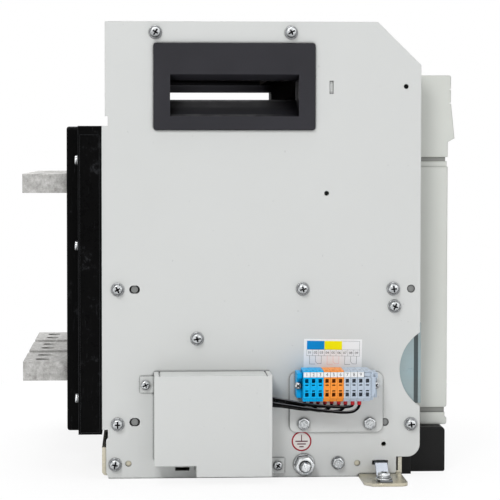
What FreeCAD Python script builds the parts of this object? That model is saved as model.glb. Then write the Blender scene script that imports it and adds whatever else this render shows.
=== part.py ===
import FreeCAD, Part
import math
import os

import Sketcher

# Draw-out air circuit breaker in its cradle. Millimetres, +Z up.
# The front cover faces -Y, the main terminals point to +Y, and the origin lies
# under the middle of the bounding box.

SIZES = {
    # Cradle side plates
    "plate_spread": 270, "plate_sheet": 2, "plate_height": 351, "plate_rear": 107,
    "plate_front": 138.6, "top_rear": 104.5, "top_front": 104.9, "front_shoulder": 317.9,
    "plate_toe": 15.4, "toe_radius": 9.8, "plate_heel": 120.3, "lower_rear": 104,
    "top_flange_width": 12, "rear_step": 7.4, "base_notch_low": 37.8, "base_notch_high": 271.3,
    "grip_radius": 33.9, "grip_height": 83.3, "grip_reach": 122.7, "pin_hole_radius": 3.1,
    "sight_hole_radius": 1.85,
    # Floor parts
    "pan_sheet": 2, "foot_sheet": 2.3, "pan_flange_height": 23.9, "front_lip_height": 14.7,
    "pan_rear": 107.2, "pan_front": 125, "pan_gap": 0.2, "pan_bend": 3, "foot_reach": 171,
    "foot_front": 124, "foot_width": 33, "foot_screw_x": 161, "rear_foot_y": 78,
    "rear_foot_width": 27, "foot_slot_rear": 50.8, "foot_slot_front": 40, "foot_slot_low": 5.8,
    "foot_slot_high": 8.5, "floor_hole_x": 88, "floor_hole_radius": 4.5, "strap_width": 9.4,
    "strap_sheet": 1.5, "strap_y": 107.7, "strap_seat": 10.3,
    # Terminals and rear insulation
    "pole_pitch": 70, "lower_bar_z": 78, "upper_bar_z": 226.5, "bar_width": 55, "bar_thick": 15,
    "bar_end": 170.3, "bar_hole_radius": 5.5, "bar_hole_pitch": 25, "bar_hole_y": 155.7,
    "stub_thick": 12, "housing_bottom": 34.2, "housing_top": 271.2, "wing_rear": 125.2,
    "wing_screw_x": 126.5, "wing_screw_high": 245, "wing_screw_middle": 179,
    "wing_screw_low": 61, "carrier_rear": 134.5, "carrier_half": 120, "cell_width": 61,
    "cell_height": 46, "housing_front": 102, "front_wall": 2.8, "window_height": 18,
    "stub_front": 115.3, "finger_front": 105.5, "finger_thick": 7, "finger_width": 6,
    "finger_pitch": 9.4, "guide_post_x": 112.4, "guide_post_width": 5.4, "guide_post_front": 95,
    # Shutters
    "shutter_front": 98.3, "shutter_thick": 3, "shutter_height": 28, "shutter_lift": 10,
    "shutter_half": 114.6,
    # Screws
    "washer_radius": 5, "washer_thick": 1, "head_radius": 4.1, "head_height": 3.2,
    "shank_radius": 2.4, "screw_grip": 4, "tie_screw_z": 342.6, "guide_screw_z": 145.8,
    "low_screw_z": 42, "pan_screw_z": 11, "stop_screw_y": 34, "stop_screw_z": 107.8,
    "screw_clearance": 0.15, "rear_screw_y": 95, "middle_screw_y": 47.4, "front_screw_y": 117.5,
    "front_screw_drop": 13.5, "low_rear_screw_y": 95.1, "low_front_screw_y": 131.5,
    "low_front_screw_drop": 1.2, "pan_rear_screw_y": 97.1, "pan_front_screw_y": 75,
    "strip_screw_rear": 48, "strip_screw_front": 99.1,
    # Pins, sight holes and slots that show in the side plates
    "rear_pin_y": 82, "rear_pin_slot": 8, "front_pin_y": 131.3, "low_pin_y": 111.3,
    "pin_proud": 1.2, "pin_gap": 0.4, "rear_pin_rise": 1.6, "low_pin_rise": 0.4,
    "pan_hole_radius": 2.45, "pan_hole_rear": 86.9, "pan_hole_front": 90,
    "sight_middle_y": 65.7, "sight_middle_z": 219.5, "sight_top_y": 126.9, "sight_top_z": 301.6,
    "sight_low_y": 110.5, "sight_low_z": 25.3, "mark_rear": 67.8, "mark_front": 70.8,
    "mark_low": 295.9, "mark_high": 305.9, "mark_depth": 1.2,
    # Tie bars and auxiliary contacts
    "tie_bar_height": 14, "tie_bar_depth": 12, "rear_tie_y": 65.9, "front_tie_y": 38.1,
    "plug_half": 96, "plug_bottom": 294, "plug_front": 68, "socket_step_z": 312,
    "socket_step_y": 42.7, "plug_leg_width": 12, "pin_pitch": 12,
    # Rails
    "rail_sheet": 2.5, "rail_gap": 4, "rail_bottom": 55.8, "rail_top": 118.5, "rail_rear": 92,
    "rail_front": 140.7, "rail_strip": 138.5, "rail_bend": 134.8, "rail_joggle": 2.5,
    "rail_shelf": 14.2, "leaf": 2, "run_gap": 0.3, "guide_front": 135, "upper_guide_top": 153,
    "lower_guide_bottom": 36,
    # Handle bezels
    "bezel_rear": 67.4, "bezel_front": 56.7, "bezel_bottom": 268, "bezel_top": 334.6,
    "bezel_proud": 2.6, "grip_rear": 54.7, "grip_front": 44, "grip_low": 278.4,
    "grip_high": 310.5, "grip_depth": 25, "grip_wall": 2, "lip_height": 306.5,
    "scoop_height": 292,
    # Racking unit
    "unit_half": 117, "unit_front": 161.7, "unit_rear": 125.3, "unit_step": 133.4,
    "unit_ear": 126, "unit_top": 35, "spindle_z": 21, "spindle_radius": 6, "spindle_end": 4,
    "collar_radius": 6.9, "crank_x": 78, "carriage_half": 54, "button_x": 34, "indicator_x": 40,
    # Breaker
    "case_half": 104, "case_bottom": 43, "case_top": 262, "case_rear": 88, "case_split": 20,
    "case_front": 44, "case_wall": 5, "chute_top": 288.5, "chute_width": 57, "chute_rear": 80,
    "blade_width": 49, "blade_tip": 114.3, "chassis_spread": 216, "chassis_sheet": 2,
    "chassis_bottom": 40.5, "chassis_height": 205, "chassis_front": 110, "roller_radius": 9,
    "roller_pin": 4, "rear_roller_y": 66, "front_roller_y": 40, "shaft_radius": 8,
    "shaft_y": 62, "shaft_z": 150, "shaft_gap": 0.1, "frame_spread": 79, "frame_sheet": 3,
    "frame_front": 108, "frame_low": 60, "frame_high": 235, "spring_y": 88, "spring_radius": 12,
    "spring_wire": 3.5, "spring_length": 69,
    # Front cover
    "cover_spread": 215, "cover_wall": 3, "cover_rear": 112, "cover_bottom": 35.4,
    "cover_top": 311.5, "cover_face": 164.9, "brow_face": 167.2, "lip_face": 170.2,
    "brow_low": 259, "band_low": 247.2, "main_top": 244, "main_low": 49.1, "skirt_top": 45,
    "skirt_step": 41.4, "joint_depth": 1.8, "band_recess": 0.7, "band_height": 4.4,
    "groove_width": 1, "groove_high": 300.6, "groove_low": 289.8, "window_half": 92,
    "window_low": 64, "window_high": 234, "panel_face": 158, "lever_x": 70, "lever_width": 24,
    "lever_low": 92, "lever_top": 212, "lever_radius": 4, "trip_left": 84, "trip_right": 8,
    "trip_low": 78, "trip_high": 222, "column_x": 26, "button_width": 24, "button_height": 20,
    "button_gap": 0.2, "on_button_z": 150, "off_button_z": 122, "contact_flag_z": 208,
    "charge_flag_z": 188, "flag_depth": 12.5, "flag_half": 9.5, "flag_radius": 8,
    "flag_pivot_radius": 2,
    # Wiring on the left side
    "box_proud": 24, "box_sheet": 1.2, "box_rear": 67.2, "box_front": 22, "box_bottom": 5.7,
    "box_top": 82.6, "box_step_y": 35.3, "box_step_z": 14.2, "wire_exit_low": 54,
    "wire_exit_high": 68.5, "strip_plate_rear": 37.3, "strip_plate_front": 109.3,
    "strip_plate_low": 35.4, "strip_plate_high": 81.6, "strip_plate_sheet": 1.5,
    "strip_stand": 1, "block_pitch": 5.12, "block_start": 45.4, "block_low": 62,
    "block_high": 86, "block_proud": 25, "clamp_proud": 14.5, "clamp_width": 4,
    "clamp_screw_gap": 3, "clamp_screw_rise": 11.5, "end_wall": 2.2, "clamp_screw_radius": 2.8,
    "tag_height": 3.8, "tag_width": 4.8, "tag_rise": 21.1, "tag_seat": 0.8, "wire_radius": 1.15,
    "ferrule_radius": 1.5, "ferrule_length": 3, "switch_low": 34, "switch_pitch": 14,
    "switch_y": 28, "switch_length": 28, "stud_y": 48.6, "stud_z": 10.2, "stud_radius": 4,
    "nut_radius": 7.5,
}

doc = FreeCAD.newDocument("breaker")
sheet = doc.addObject("Spreadsheet::Sheet", "Sizes")


class Size:
    """A length together with the sheet expression that gives it."""

    def __init__(self, number, text):
        self.number = number
        self.text = text

    def __add__(self, other):
        other = as_size(other)
        return Size(self.number + other.number, f"({self.text} + {other.text})")

    def __sub__(self, other):
        other = as_size(other)
        return Size(self.number - other.number, f"({self.text} - {other.text})")

    def __mul__(self, factor):
        return Size(self.number * factor, f"({self.text} * {float(factor)!r})")

    def __truediv__(self, divisor):
        return self * (1 / divisor)

    def __neg__(self):
        return self * -1

    __radd__ = __add__
    __rmul__ = __mul__

    def __rsub__(self, other):
        return as_size(other) - self


def as_size(value):
    if isinstance(value, Size):
        return value
    return Size(float(value), f"({float(value)!r})")


def fill_sheet():
    for row, (alias, value) in enumerate(SIZES.items(), start=1):
        sheet.set(f"A{row}", alias)
        sheet.set(f"B{row}", str(value))
        sheet.setAlias(f"B{row}", alias)
    doc.recompute()


def size(alias):
    return Size(float(sheet.get(alias)), f"Sizes.{alias}")


fill_sheet()


# Sketching

def point(across, up):
    return FreeCAD.Vector(across, up, 0)


def bind(sketch, kind, *arguments, value):
    value = as_size(value)
    index = sketch.addConstraint(Sketcher.Constraint(kind, *arguments, value.number))
    sketch.setExpression(f"Constraints[{index}]", value.text)


def pin_point(sketch, geometry, position, across, up):
    """Holds a point of a sketch at its distances from the sketch origin."""
    bind(sketch, "DistanceX", -1, 1, geometry, position, value=across)
    bind(sketch, "DistanceY", -1, 1, geometry, position, value=up)


def draw_disc(sketch, across, up, radius):
    centre = point(as_size(across).number, as_size(up).number)
    circle = Part.Circle(centre, FreeCAD.Vector(0, 0, 1), as_size(radius).number)
    geometry = sketch.addGeometry(circle, False)
    pin_point(sketch, geometry, 3, across, up)
    bind(sketch, "Radius", geometry, value=radius)


def draw_outline(sketch, corners):
    """A closed outline. A corner is (across, up), or (across, up, radius) if it is rounded."""
    spots = [point(as_size(c[0]).number, as_size(c[1]).number) for c in corners]
    lines = []
    for index, spot in enumerate(spots):
        run = Part.LineSegment(spot, spots[(index + 1) % len(spots)])
        lines.append(sketch.addGeometry(run, False))
    for index, corner in enumerate(corners):
        incoming = lines[index - 1]
        outgoing = lines[index]
        sketch.addConstraint(Sketcher.Constraint("Coincident", incoming, 2, outgoing, 1))
        pin_point(sketch, outgoing, 1, corner[0], corner[1])


class Disc(tuple):
    """A circle to be sketched: across, up, radius."""


def disc(across, up, radius):
    return Disc((across, up, radius))


def box(left, right, low, high, radius=None):
    corners = [(left, low), (right, low), (right, high), (left, high)]
    if radius is None:
        return corners
    return [corner + (radius,) for corner in corners]


def spread_box(across, up, width, height):
    across, up, width, height = [as_size(value) for value in (across, up, width, height)]
    return box(across - width / 2, across + width / 2, up - height / 2, up + height / 2)


def hexagon(across, up, radius):
    across = as_size(across)
    up = as_size(up)
    corners = []
    for step in range(6):
        angle = math.radians(60 * step)
        corners.append((across + radius * math.cos(angle), up + radius * math.sin(angle)))
    return corners


# Solid features

def new_body(label):
    body = doc.addObject("PartDesign::Body", label)
    body.Label = label
    body.AllowCompound = True
    body.Placement = FreeCAD.Placement()
    return body


def origin_feature(body, role):
    for feature in body.Origin.OriginFeatures:
        if feature.Role == role:
            return feature
    raise ValueError(role)


def sketch_on(body, plane, station, shapes):
    """A sketch across one axis of the object, at a station along that axis."""
    sketch = body.newObject("Sketcher::SketchObject", body.Name + "_sketch")
    sketch.AttachmentSupport = [(origin_feature(body, plane + "_Plane"), "")]
    sketch.MapMode = "FlatFace"
    station = as_size(station)
    if plane == "XZ":
        station = -station
    shift = FreeCAD.Vector(0, 0, station.number)
    sketch.AttachmentOffset = FreeCAD.Placement(shift, FreeCAD.Rotation())
    sketch.setExpression("AttachmentOffset.Base.z", station.text)
    for shape in shapes:
        if isinstance(shape, Disc):
            draw_disc(sketch, *shape)
        else:
            draw_outline(sketch, shape)
    return sketch


def extrude(kind, body, plane, start, end, shapes):
    start = as_size(start)
    end = as_size(end)
    sketch = sketch_on(body, plane, start, shapes)
    feature = body.newObject(kind, body.Name + "_feature")
    feature.Profile = sketch
    grows = end.number > start.number
    length = end - start if grows else start - end
    feature.Length = length.number
    feature.setExpression("Length", length.text)
    against_normal = grows if plane == "XZ" else not grows
    if kind == "PartDesign::Pocket":
        against_normal = not against_normal
    feature.Reversed = against_normal
    doc.recompute()
    round_corners(body, plane, (start.number, end.number), shapes)
    return feature


def in_plane(plane, place):
    """Splits a point into its two coordinates in a plane and the one across it."""
    if plane == "XY":
        return place.x, place.y, place.z
    if plane == "XZ":
        return place.x, place.z, place.y
    return place.y, place.z, place.x


def round_corners(body, plane, stations, shapes):
    """Rounds the upright edges that a feature has just made at its rounded corners."""
    groups = {}
    for shape in shapes:
        if isinstance(shape, Disc):
            continue
        for corner in shape:
            if len(corner) == 3:
                spot = (as_size(corner[0]).number, as_size(corner[1]).number)
                radius = as_size(corner[2])
                groups.setdefault(radius.text, (radius, []))[1].append(spot)
    for radius, spots in groups.values():
        round_edges(body, radius, upright_edge_test(plane, stations, spots))


def upright_edge_test(plane, stations, spots):
    low, high = min(stations), max(stations)

    def wanted(edge, middle):
        across, up, along = in_plane(plane, middle)
        first = in_plane(plane, edge.Vertexes[0].Point)
        last = in_plane(plane, edge.Vertexes[-1].Point)
        upright = abs(first[0] - last[0]) < 1e-4 and abs(first[1] - last[1]) < 1e-4
        inside = low - 1e-4 < along < high + 1e-4
        at_spot = any(abs(across - u) < 1e-4 and abs(up - v) < 1e-4 for u, v in spots)
        return upright and inside and at_spot and abs(first[2] - last[2]) > 1e-4
    return wanted


def slab(body, plane, start, end, *shapes):
    """Adds material between two stations along the axis across the plane."""
    return extrude("PartDesign::Pad", body, plane, start, end, shapes)


def cut(body, plane, start, end, *shapes):
    """Takes material away between two stations, and checks that some went."""
    before = body.Shape.Volume
    feature = extrude("PartDesign::Pocket", body, plane, start, end, shapes)
    if body.Shape.Volume > before - 1e-3:
        raise RuntimeError(f"a cut in {body.Label} takes nothing away")
    return feature


def in_row(body, features, axis, span, count):
    """Repeats features along one axis over a span."""
    pattern = body.newObject("PartDesign::LinearPattern", body.Name + "_row")
    pattern.Originals = features
    pattern.Direction = (origin_feature(body, axis + "_Axis"), [""])
    span = as_size(span)
    pattern.Length = span.number
    pattern.setExpression("Length", span.text)
    pattern.Occurrences = count
    body.Tip = pattern
    doc.recompute()
    return pattern


def round_edges(body, radius, wanted):
    """Rounds the edges of a body that a test picks out by their mid points."""
    names = []
    for index, edge in enumerate(body.Shape.Edges, start=1):
        middle = edge.valueAt((edge.FirstParameter + edge.LastParameter) / 2)
        if wanted(edge, middle):
            names.append(f"Edge{index}")
    base = body.Tip
    fillet = body.newObject("PartDesign::Fillet", body.Name + "_round")
    fillet.Base = (base, names)
    radius = as_size(radius)
    fillet.Radius = radius.number
    fillet.setExpression("Radius", radius.text)
    doc.recompute()
    return fillet


# Shared stations
HALF = size("plate_spread") / 2
SHEET = size("plate_sheet")
INNER = HALF - SHEET
RUN_GAP = size("run_gap")
POLE = size("pole_pitch")
BAR_LEVELS = (size("lower_bar_z"), size("upper_bar_z"))
PAN_FLOOR = size("foot_sheet")
PAN_TOP = PAN_FLOOR + size("pan_sheet")
SIDES = (("left", -1), ("right", 1))
LEFT_FACE = -HALF


def side_screw_places(side):
    """Centres, as (Y, Z), of the screws that show on one side plate."""
    tie = size("tie_screw_z")
    pan = size("pan_screw_z")
    places = [(size("rear_tie_y"), tie), (-size("front_tie_y"), tie)]
    places += guide_screw_places()
    places += [(size("stop_screw_y"), size("stop_screw_z"))]
    places += [(size("pan_rear_screw_y"), pan), (-size("pan_front_screw_y"), pan)]
    if side > 0:
        places += strip_screw_places() + [(-size("stud_y"), pan)]
    return places


def guide_screw_places():
    """Screws that hold the rail guides to both side plates."""
    high = size("guide_screw_z")
    low = size("low_screw_z")
    front = -size("front_screw_y")
    places = [(size("rear_screw_y"), high), (-size("middle_screw_y"), high), (front, high)]
    places += [(front - 1, high - size("front_screw_drop")), (size("low_rear_screw_y"), low)]
    places += [(-size("low_front_screw_y"), low - size("low_front_screw_drop"))]
    return places


def strip_screw_places():
    low = size("low_screw_z")
    return [(-size("strip_screw_rear"), low), (-size("strip_screw_front"), low)]


def screw_bore():
    return size("shank_radius") + size("screw_clearance")


def rear_pin_places():
    """Pins of the guides that stand in the slotted holes at the rear."""
    y = size("rear_pin_y")
    return [(y, size("guide_screw_z")), (y, size("low_screw_z") + size("rear_pin_rise"))]


def front_pin_places():
    high = (-size("front_pin_y"), size("guide_screw_z"))
    return [high, (-size("low_pin_y"), size("low_screw_z") + size("low_pin_rise"))]


def rear_pin_slots():
    pin = size("pin_hole_radius")
    slot = size("rear_pin_slot") / 2
    return [box(y - slot, y + slot, z - pin, z + pin, pin - 0.2) for y, z in rear_pin_places()]


def foot_slot():
    rear = size("foot_slot_rear")
    return box(size("foot_slot_front"), rear, size("foot_slot_low"), size("foot_slot_high"))


def strap_slot():
    """The opening through which a bonding strap leaves the frame."""
    low = size("strap_seat") - 1
    half = size("strap_width") / 2 + 1.4
    middle = -size("strap_y")
    return box(middle - half, middle + half, low, low + size("strap_sheet") + 1.9)


# Cradle sheet metal

def plate_outline():
    rear = size("plate_rear")
    front = -size("plate_front")
    top = size("plate_height")
    low = size("base_notch_low")
    high = size("base_notch_high")
    toe = size("plate_toe")
    heel = -size("plate_heel")
    low_rear = size("lower_rear")
    step = high + size("rear_step")
    ear_back = size("foot_width") - size("foot_front")
    ear_top = PAN_FLOOR + 0.1
    return [
        (low_rear - 2, 0), (low_rear, 5), (low_rear, low - 8), (low_rear - 1.4, low - 6.2),
        (low_rear - 1.4, low), (rear, low), (rear, high), (rear - 4.7, high),
        (rear - 4.7, step), (size("top_rear"), step), (size("top_rear"), top),
        (-size("top_front"), top), (front, size("front_shoulder")),
        (front, toe, size("toe_radius")), (heel, toe), (heel, ear_top, 2),
        (ear_back, ear_top), (ear_back, 0),
    ]


def make_side_plate(name, side):
    body = new_body("side_plate_" + name)
    outer = HALF * side
    inner = INNER * side
    slab(body, "YZ", outer, inner, plate_outline())
    top = size("plate_height")
    flange = inner - size("top_flange_width") * side
    top_flange = box(-size("top_front") + 6, size("top_rear") - 6, top - SHEET, top)
    slab(body, "YZ", inner, flange, top_flange)
    rear = size("plate_rear")
    low = size("base_notch_low") + 4
    high = size("base_notch_high") - 4
    slab(body, "YZ", inner, flange, box(rear - SHEET, rear, low, high))
    centre_y = -size("grip_reach") - size("grip_radius")
    cut(body, "YZ", outer, inner, disc(centre_y, size("grip_height"), size("grip_radius")))
    bezel = box(
        -size("bezel_front") + 8, size("bezel_rear") - 8, size("bezel_bottom") + 6,
        size("bezel_top") - 17,
    )
    cut(body, "YZ", outer, inner, bezel)
    holes = [disc(y, z, screw_bore()) for y, z in side_screw_places(side)]
    if side < 0:
        holes += [disc(y, z, screw_bore()) for y, z in strip_screw_places()]
        stud = size("stud_radius") + size("screw_clearance")
        holes.append(disc(-size("stud_y"), size("stud_z"), stud))
        holes.append(foot_slot())
    cut(body, "YZ", outer, inner, *holes)
    cut_sight_holes(body, outer, inner)
    mark = box(-size("mark_front"), -size("mark_rear"), size("mark_low"), size("mark_high"))
    cut(body, "YZ", outer, outer - size("mark_depth") * side, mark)
    return body


def cut_sight_holes(body, outer, inner):
    pin = size("pin_hole_radius")
    sight = size("sight_hole_radius")
    pan_hole = size("pan_hole_radius")
    pan = size("pan_screw_z")
    shapes = rear_pin_slots() + [disc(y, z, pin) for y, z in front_pin_places()]
    shapes += [
        disc(-size("sight_middle_y"), size("sight_middle_z"), sight),
        disc(-size("sight_top_y"), size("sight_top_z"), sight),
        disc(-size("sight_low_y"), size("sight_low_z"), sight),
        disc(size("pan_hole_rear"), pan + 0.5, pan_hole),
        disc(-size("pan_hole_front"), pan - 0.4, pan_hole),
        strap_slot(),
    ]
    cut(body, "YZ", outer, inner, *shapes)


def make_base_pan():
    body = new_body("base_pan")
    sheet_thick = size("pan_sheet")
    rear = size("pan_rear")
    front = -size("pan_front")
    wall = INNER - size("pan_gap")
    rim = size("pan_flange_height")
    section = [
        (front, PAN_FLOOR), (rear, PAN_FLOOR, size("pan_bend")), (rear, rim),
        (rear - sheet_thick, rim), (rear - sheet_thick, PAN_TOP), (front, PAN_TOP),
    ]
    slab(body, "YZ", -wall, wall, section)
    lip = box(-wall, wall, PAN_FLOOR, size("front_lip_height"))
    slab(body, "XZ", front, front + 3, lip)
    cut(body, "XZ", front, front + 3, disc(0, size("spindle_z"), size("collar_radius") + RUN_GAP))
    flange = box(-size("plate_heel"), rear - sheet_thick, PAN_FLOOR, rim)
    for side in (-1, 1):
        slab(body, "YZ", wall * side, (wall - sheet_thick) * side, flange)
    spare = [spread_box(x, 40, 26, 70) for x in (-62, 62)]
    cut(body, "XY", PAN_FLOOR, PAN_TOP, *spare, *floor_holes())
    pan = size("pan_screw_z")
    holes = [
        disc(size("pan_rear_screw_y"), pan, screw_bore()),
        disc(-size("pan_front_screw_y"), pan, screw_bore()),
        disc(-size("stud_y"), size("stud_z"), size("stud_radius") + 0.3), strap_slot(),
    ]
    for side in (-1, 1):
        shapes = holes + [foot_slot()] if side < 0 else holes
        cut(body, "YZ", wall * side, (wall - sheet_thick) * side, *shapes)
    return body


def floor_holes():
    middle = -size("foot_front") + size("foot_width") / 2
    shapes = []
    for x in (-size("floor_hole_x"), size("floor_hole_x")):
        for y in (middle, size("rear_foot_y")):
            shapes.append(disc(x, y, size("floor_hole_radius")))
    return shapes


def make_feet():
    front = -size("foot_front")
    back = front + size("foot_width")
    reach = size("foot_reach")
    body = new_body("foot_bars")
    outline = [
        (-reach, front, 6), (reach, front, 6), (reach, back - 6), (reach - 6, back),
        (-reach + 6, back), (-reach, back - 6),
    ]
    slab(body, "XY", 0, PAN_FLOOR, outline)
    ear_holes = [disc(size("foot_screw_x") * side, -size("strap_y") + 1, 3.2) for side in (-1, 1)]
    cut(body, "XY", 0, PAN_FLOOR, *ear_holes)
    middle = size("rear_foot_y")
    half = INNER - 0.3
    width = size("rear_foot_width") / 2
    slab(body, "XY", 0, PAN_FLOOR, box(-half, half, middle - width, middle + width))
    cut(body, "XY", 0, PAN_FLOOR, *floor_holes())


def make_foot_straps():
    """Bonding straps that leave the side plates and end under the foot screws."""
    straps = new_body("foot_straps")
    screws = new_body("frame_screws")
    add_wing_screws(screws)
    thick = size("strap_sheet")
    middle = -size("strap_y")
    width = size("strap_width") / 2
    z_slot = size("strap_seat")
    for side in (-1, 1):
        inside = (INNER - 5) * side
        knee = (HALF + 5) * side
        toe = (HALF + 13) * side
        tip = (size("foot_screw_x") + 6) * side
        profile = [
            (inside, z_slot), (knee, z_slot), (toe, PAN_FLOOR), (tip, PAN_FLOOR),
            (tip, PAN_FLOOR + thick), (toe + 0.9 * side, PAN_FLOOR + thick),
            (knee + 0.9 * side, z_slot + thick), (inside, z_slot + thick),
        ]
        slab(straps, "XZ", middle - width, middle + width, profile)
        centre = size("foot_screw_x") * side
        seat = PAN_FLOOR + thick
        hole_y = middle + 1
        cut(straps, "XY", PAN_FLOOR, seat, disc(centre, hole_y, 3.2))
        slab(screws, "XY", seat, seat + 1.2, disc(centre, hole_y, 6.2))
        slab(screws, "XY", seat + 1.2, seat + 5, disc(centre, hole_y, 5))
        slab(screws, "XY", seat, 0.2, disc(centre, hole_y, 2.9))


def make_tie_bars():
    bottom = size("tie_screw_z") - size("tie_bar_height") / 2
    top = bottom + size("tie_bar_height")
    depth = size("tie_bar_depth")
    wall = as_size(2)
    body = new_body("tie_bars")
    for y in (size("rear_tie_y"), -size("front_tie_y")):
        half = INNER - 0.1
        low = y - depth / 2
        high = y + depth / 2
        channel = [
            (low, bottom), (high, bottom), (high, bottom + wall), (low + wall, bottom + wall),
            (low + wall, top - wall - 2), (high, top - wall - 2), (high, top - 2), (low, top - 2),
        ]
        slab(body, "YZ", -half, half, channel)


# Rear insulation, terminals and shutters

def cells(margin_width, height):
    shapes = []
    for level in BAR_LEVELS:
        for pole in (-1, 0, 1):
            shapes.append(spread_box(POLE * pole, level, margin_width, height))
    return shapes


def make_rear_housing():
    body = new_body("rear_housing")
    low = size("housing_bottom")
    high = size("housing_top")
    wing = size("wing_rear")
    edge = HALF
    slab(body, "XZ", size("plate_rear"), wing, box(-edge, edge, low, high))
    post = size("guide_post_x") + size("guide_post_width")
    front = size("housing_front")
    slab(body, "XZ", size("plate_rear"), front, box(-post, post, low + 6, high - 6))
    posts = [
        box(-post, -size("guide_post_x"), low + 6, high - 6),
        box(size("guide_post_x"), post, low + 6, high - 6),
    ]
    slab(body, "XZ", front, size("guide_post_front"), *posts)
    track = size("shutter_half") + RUN_GAP
    slot_front = size("shutter_front") - RUN_GAP
    slot_rear = size("shutter_front") + size("shutter_thick") + RUN_GAP
    for side in (-1, 1):
        inner = (size("guide_post_x") - 0.5) * side
        groove = box(inner, track * side, slot_front, slot_rear)
        cut(body, "XY", low + 6, high - 6, groove)
    wall = front + size("front_wall")
    cut(body, "XZ", wing, wall, *cells(size("cell_width"), size("cell_height")))
    window = size("blade_width") + 4
    cut(body, "XZ", wall, front, *cells(window, size("window_height")))
    panel = box(size("plate_rear") + 2, wing - 1.6, low + 1.5, high - 7)
    for side in (-1, 1):
        cut(body, "YZ", edge * side, (edge - 0.8) * side, panel)
    return body


def make_terminal_carrier():
    body = new_body("terminal_carrier")
    half = size("carrier_half")
    low = size("housing_bottom") + 0.3
    high = size("housing_top") - 0.2
    front = size("wing_rear")
    rear = size("carrier_rear")
    outline = [
        (-half, low, 3), (half, low, 3), (half, high, 3), (-half, high, 3),
    ]
    slab(body, "XZ", front, rear, outline)
    cut(body, "XZ", front, rear, *cells(size("bar_width") + 0.2, size("bar_thick") + 0.2))
    level = (low + high) / 2
    ribs = [spread_box(POLE * (pole + 0.5), level, 4, 150) for pole in (-1, 0)]
    slab(body, "XZ", rear, rear + 3, *ribs)
    round_edges(body, 2, lambda edge, middle: on_outer_rear_edge(edge, middle, half, rear))
    return body


def on_outer_rear_edge(edge, middle, half, rear):
    at_rear = abs(middle.y - rear.number) < 0.01
    upright = edge.Length > 150 and abs(abs(middle.x) - half.number) < 0.01
    return at_rear and upright


def make_terminals():
    """Three bars at each level: a thick drilled end outside, a thinner stub inside."""
    body = new_body("main_terminals")
    poles = (-1, 0, 1)
    for level in BAR_LEVELS:
        width = size("bar_width")
        bars = [spread_box(POLE * pole, level, width, size("bar_thick")) for pole in poles]
        slab(body, "XZ", size("wing_rear"), size("bar_end"), *bars)
        stubs = [spread_box(POLE * pole, level, width - 5, size("stub_thick")) for pole in poles]
        slab(body, "XZ", size("wing_rear"), size("stub_front"), *stubs)
        holes = []
        for pole in poles:
            for side in (-0.5, 0.5):
                x = POLE * pole + size("bar_hole_pitch") * side
                holes.append(disc(x, size("bar_hole_y"), size("bar_hole_radius")))
        half = size("bar_thick") / 2
        cut(body, "XY", level - half, level + half, *holes)


def finger_profile(level, above):
    """One jaw finger seen from its side, with a contact nose at each end."""
    face = level + size("stub_thick") / 2 * above
    back = face + size("finger_thick") * above
    hollow = face + 1.4 * above
    front = size("finger_front")
    rear = size("wing_rear") - 0.7
    return [
        (front, face + 2.6 * above), (front + 4, face + 0.2 * above),
        (front + 7, face + 0.2 * above), (front + 9.5, hollow), (rear - 6.5, hollow),
        (rear - 4.5, face),
        (rear, face), (rear, back - 2 * above), (rear - 2, back), (front + 2, back),
        (front, back - 2 * above),
    ]


def make_jaw_fingers():
    body = new_body("jaw_fingers")
    for level in BAR_LEVELS:
        pitch = size("finger_pitch")
        start = -POLE - pitch * 2 - size("finger_width") / 2
        fingers = [finger_profile(level, 1), finger_profile(level, -1)]
        row = slab(body, "YZ", start, start + size("finger_width"), *fingers)
        spring = size("stub_thick") / 2 + size("finger_thick")
        strip = []
        for above in (-1, 1):
            one = level + spring * above
            two = one + 0.8 * above
            low, high = (one, two) if above > 0 else (two, one)
            strip.append(box(size("finger_front") + 6, size("wing_rear") - 6, low, high))
        pattern = body.newObject("PartDesign::MultiTransform", "jaw_grid")
        pattern.Originals = [row]
        along = grid_step(body, pattern, pitch * 4, 5)
        across = grid_step(body, pattern, POLE * 2, 3)
        pattern.Transformations = [along, across]
        body.Tip = pattern
        doc.recompute()
        left = start
        right = start + pitch * 4 + size("finger_width")
        springs = slab(body, "YZ", left, right, *strip)
        in_row(body, [springs], "X", POLE * 2, 3)


def grid_step(body, pattern, span, count):
    step = doc.addObject("PartDesign::LinearPattern", body.Name + "_step")
    step.Direction = (origin_feature(body, "X_Axis"), [""])
    step.Length = span.number
    step.setExpression("Length", span.text)
    step.Occurrences = count
    return step


def make_shutters():
    """Insulating shutters, drawn open: the upper one raised, the lower one lowered."""
    front = size("shutter_front")
    rear = front + size("shutter_thick")
    half = size("shutter_half")
    clear = size("stub_thick") / 2 + size("shutter_lift")
    height = size("shutter_height")
    upper_low = BAR_LEVELS[1] + clear
    lower_high = BAR_LEVELS[0] - clear
    for label, low in (("shutter_upper", upper_low), ("shutter_lower", lower_high - height)):
        body = new_body(label)
        slab(body, "XZ", front, rear, box(-half, half, low, low + height))
        ribs = [spread_box(POLE * step, low + height / 2, 30, 3) for step in (-1, 0, 1)]
        slab(body, "XZ", front, front - 1.5, *ribs)


# Rails and their guides

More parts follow.
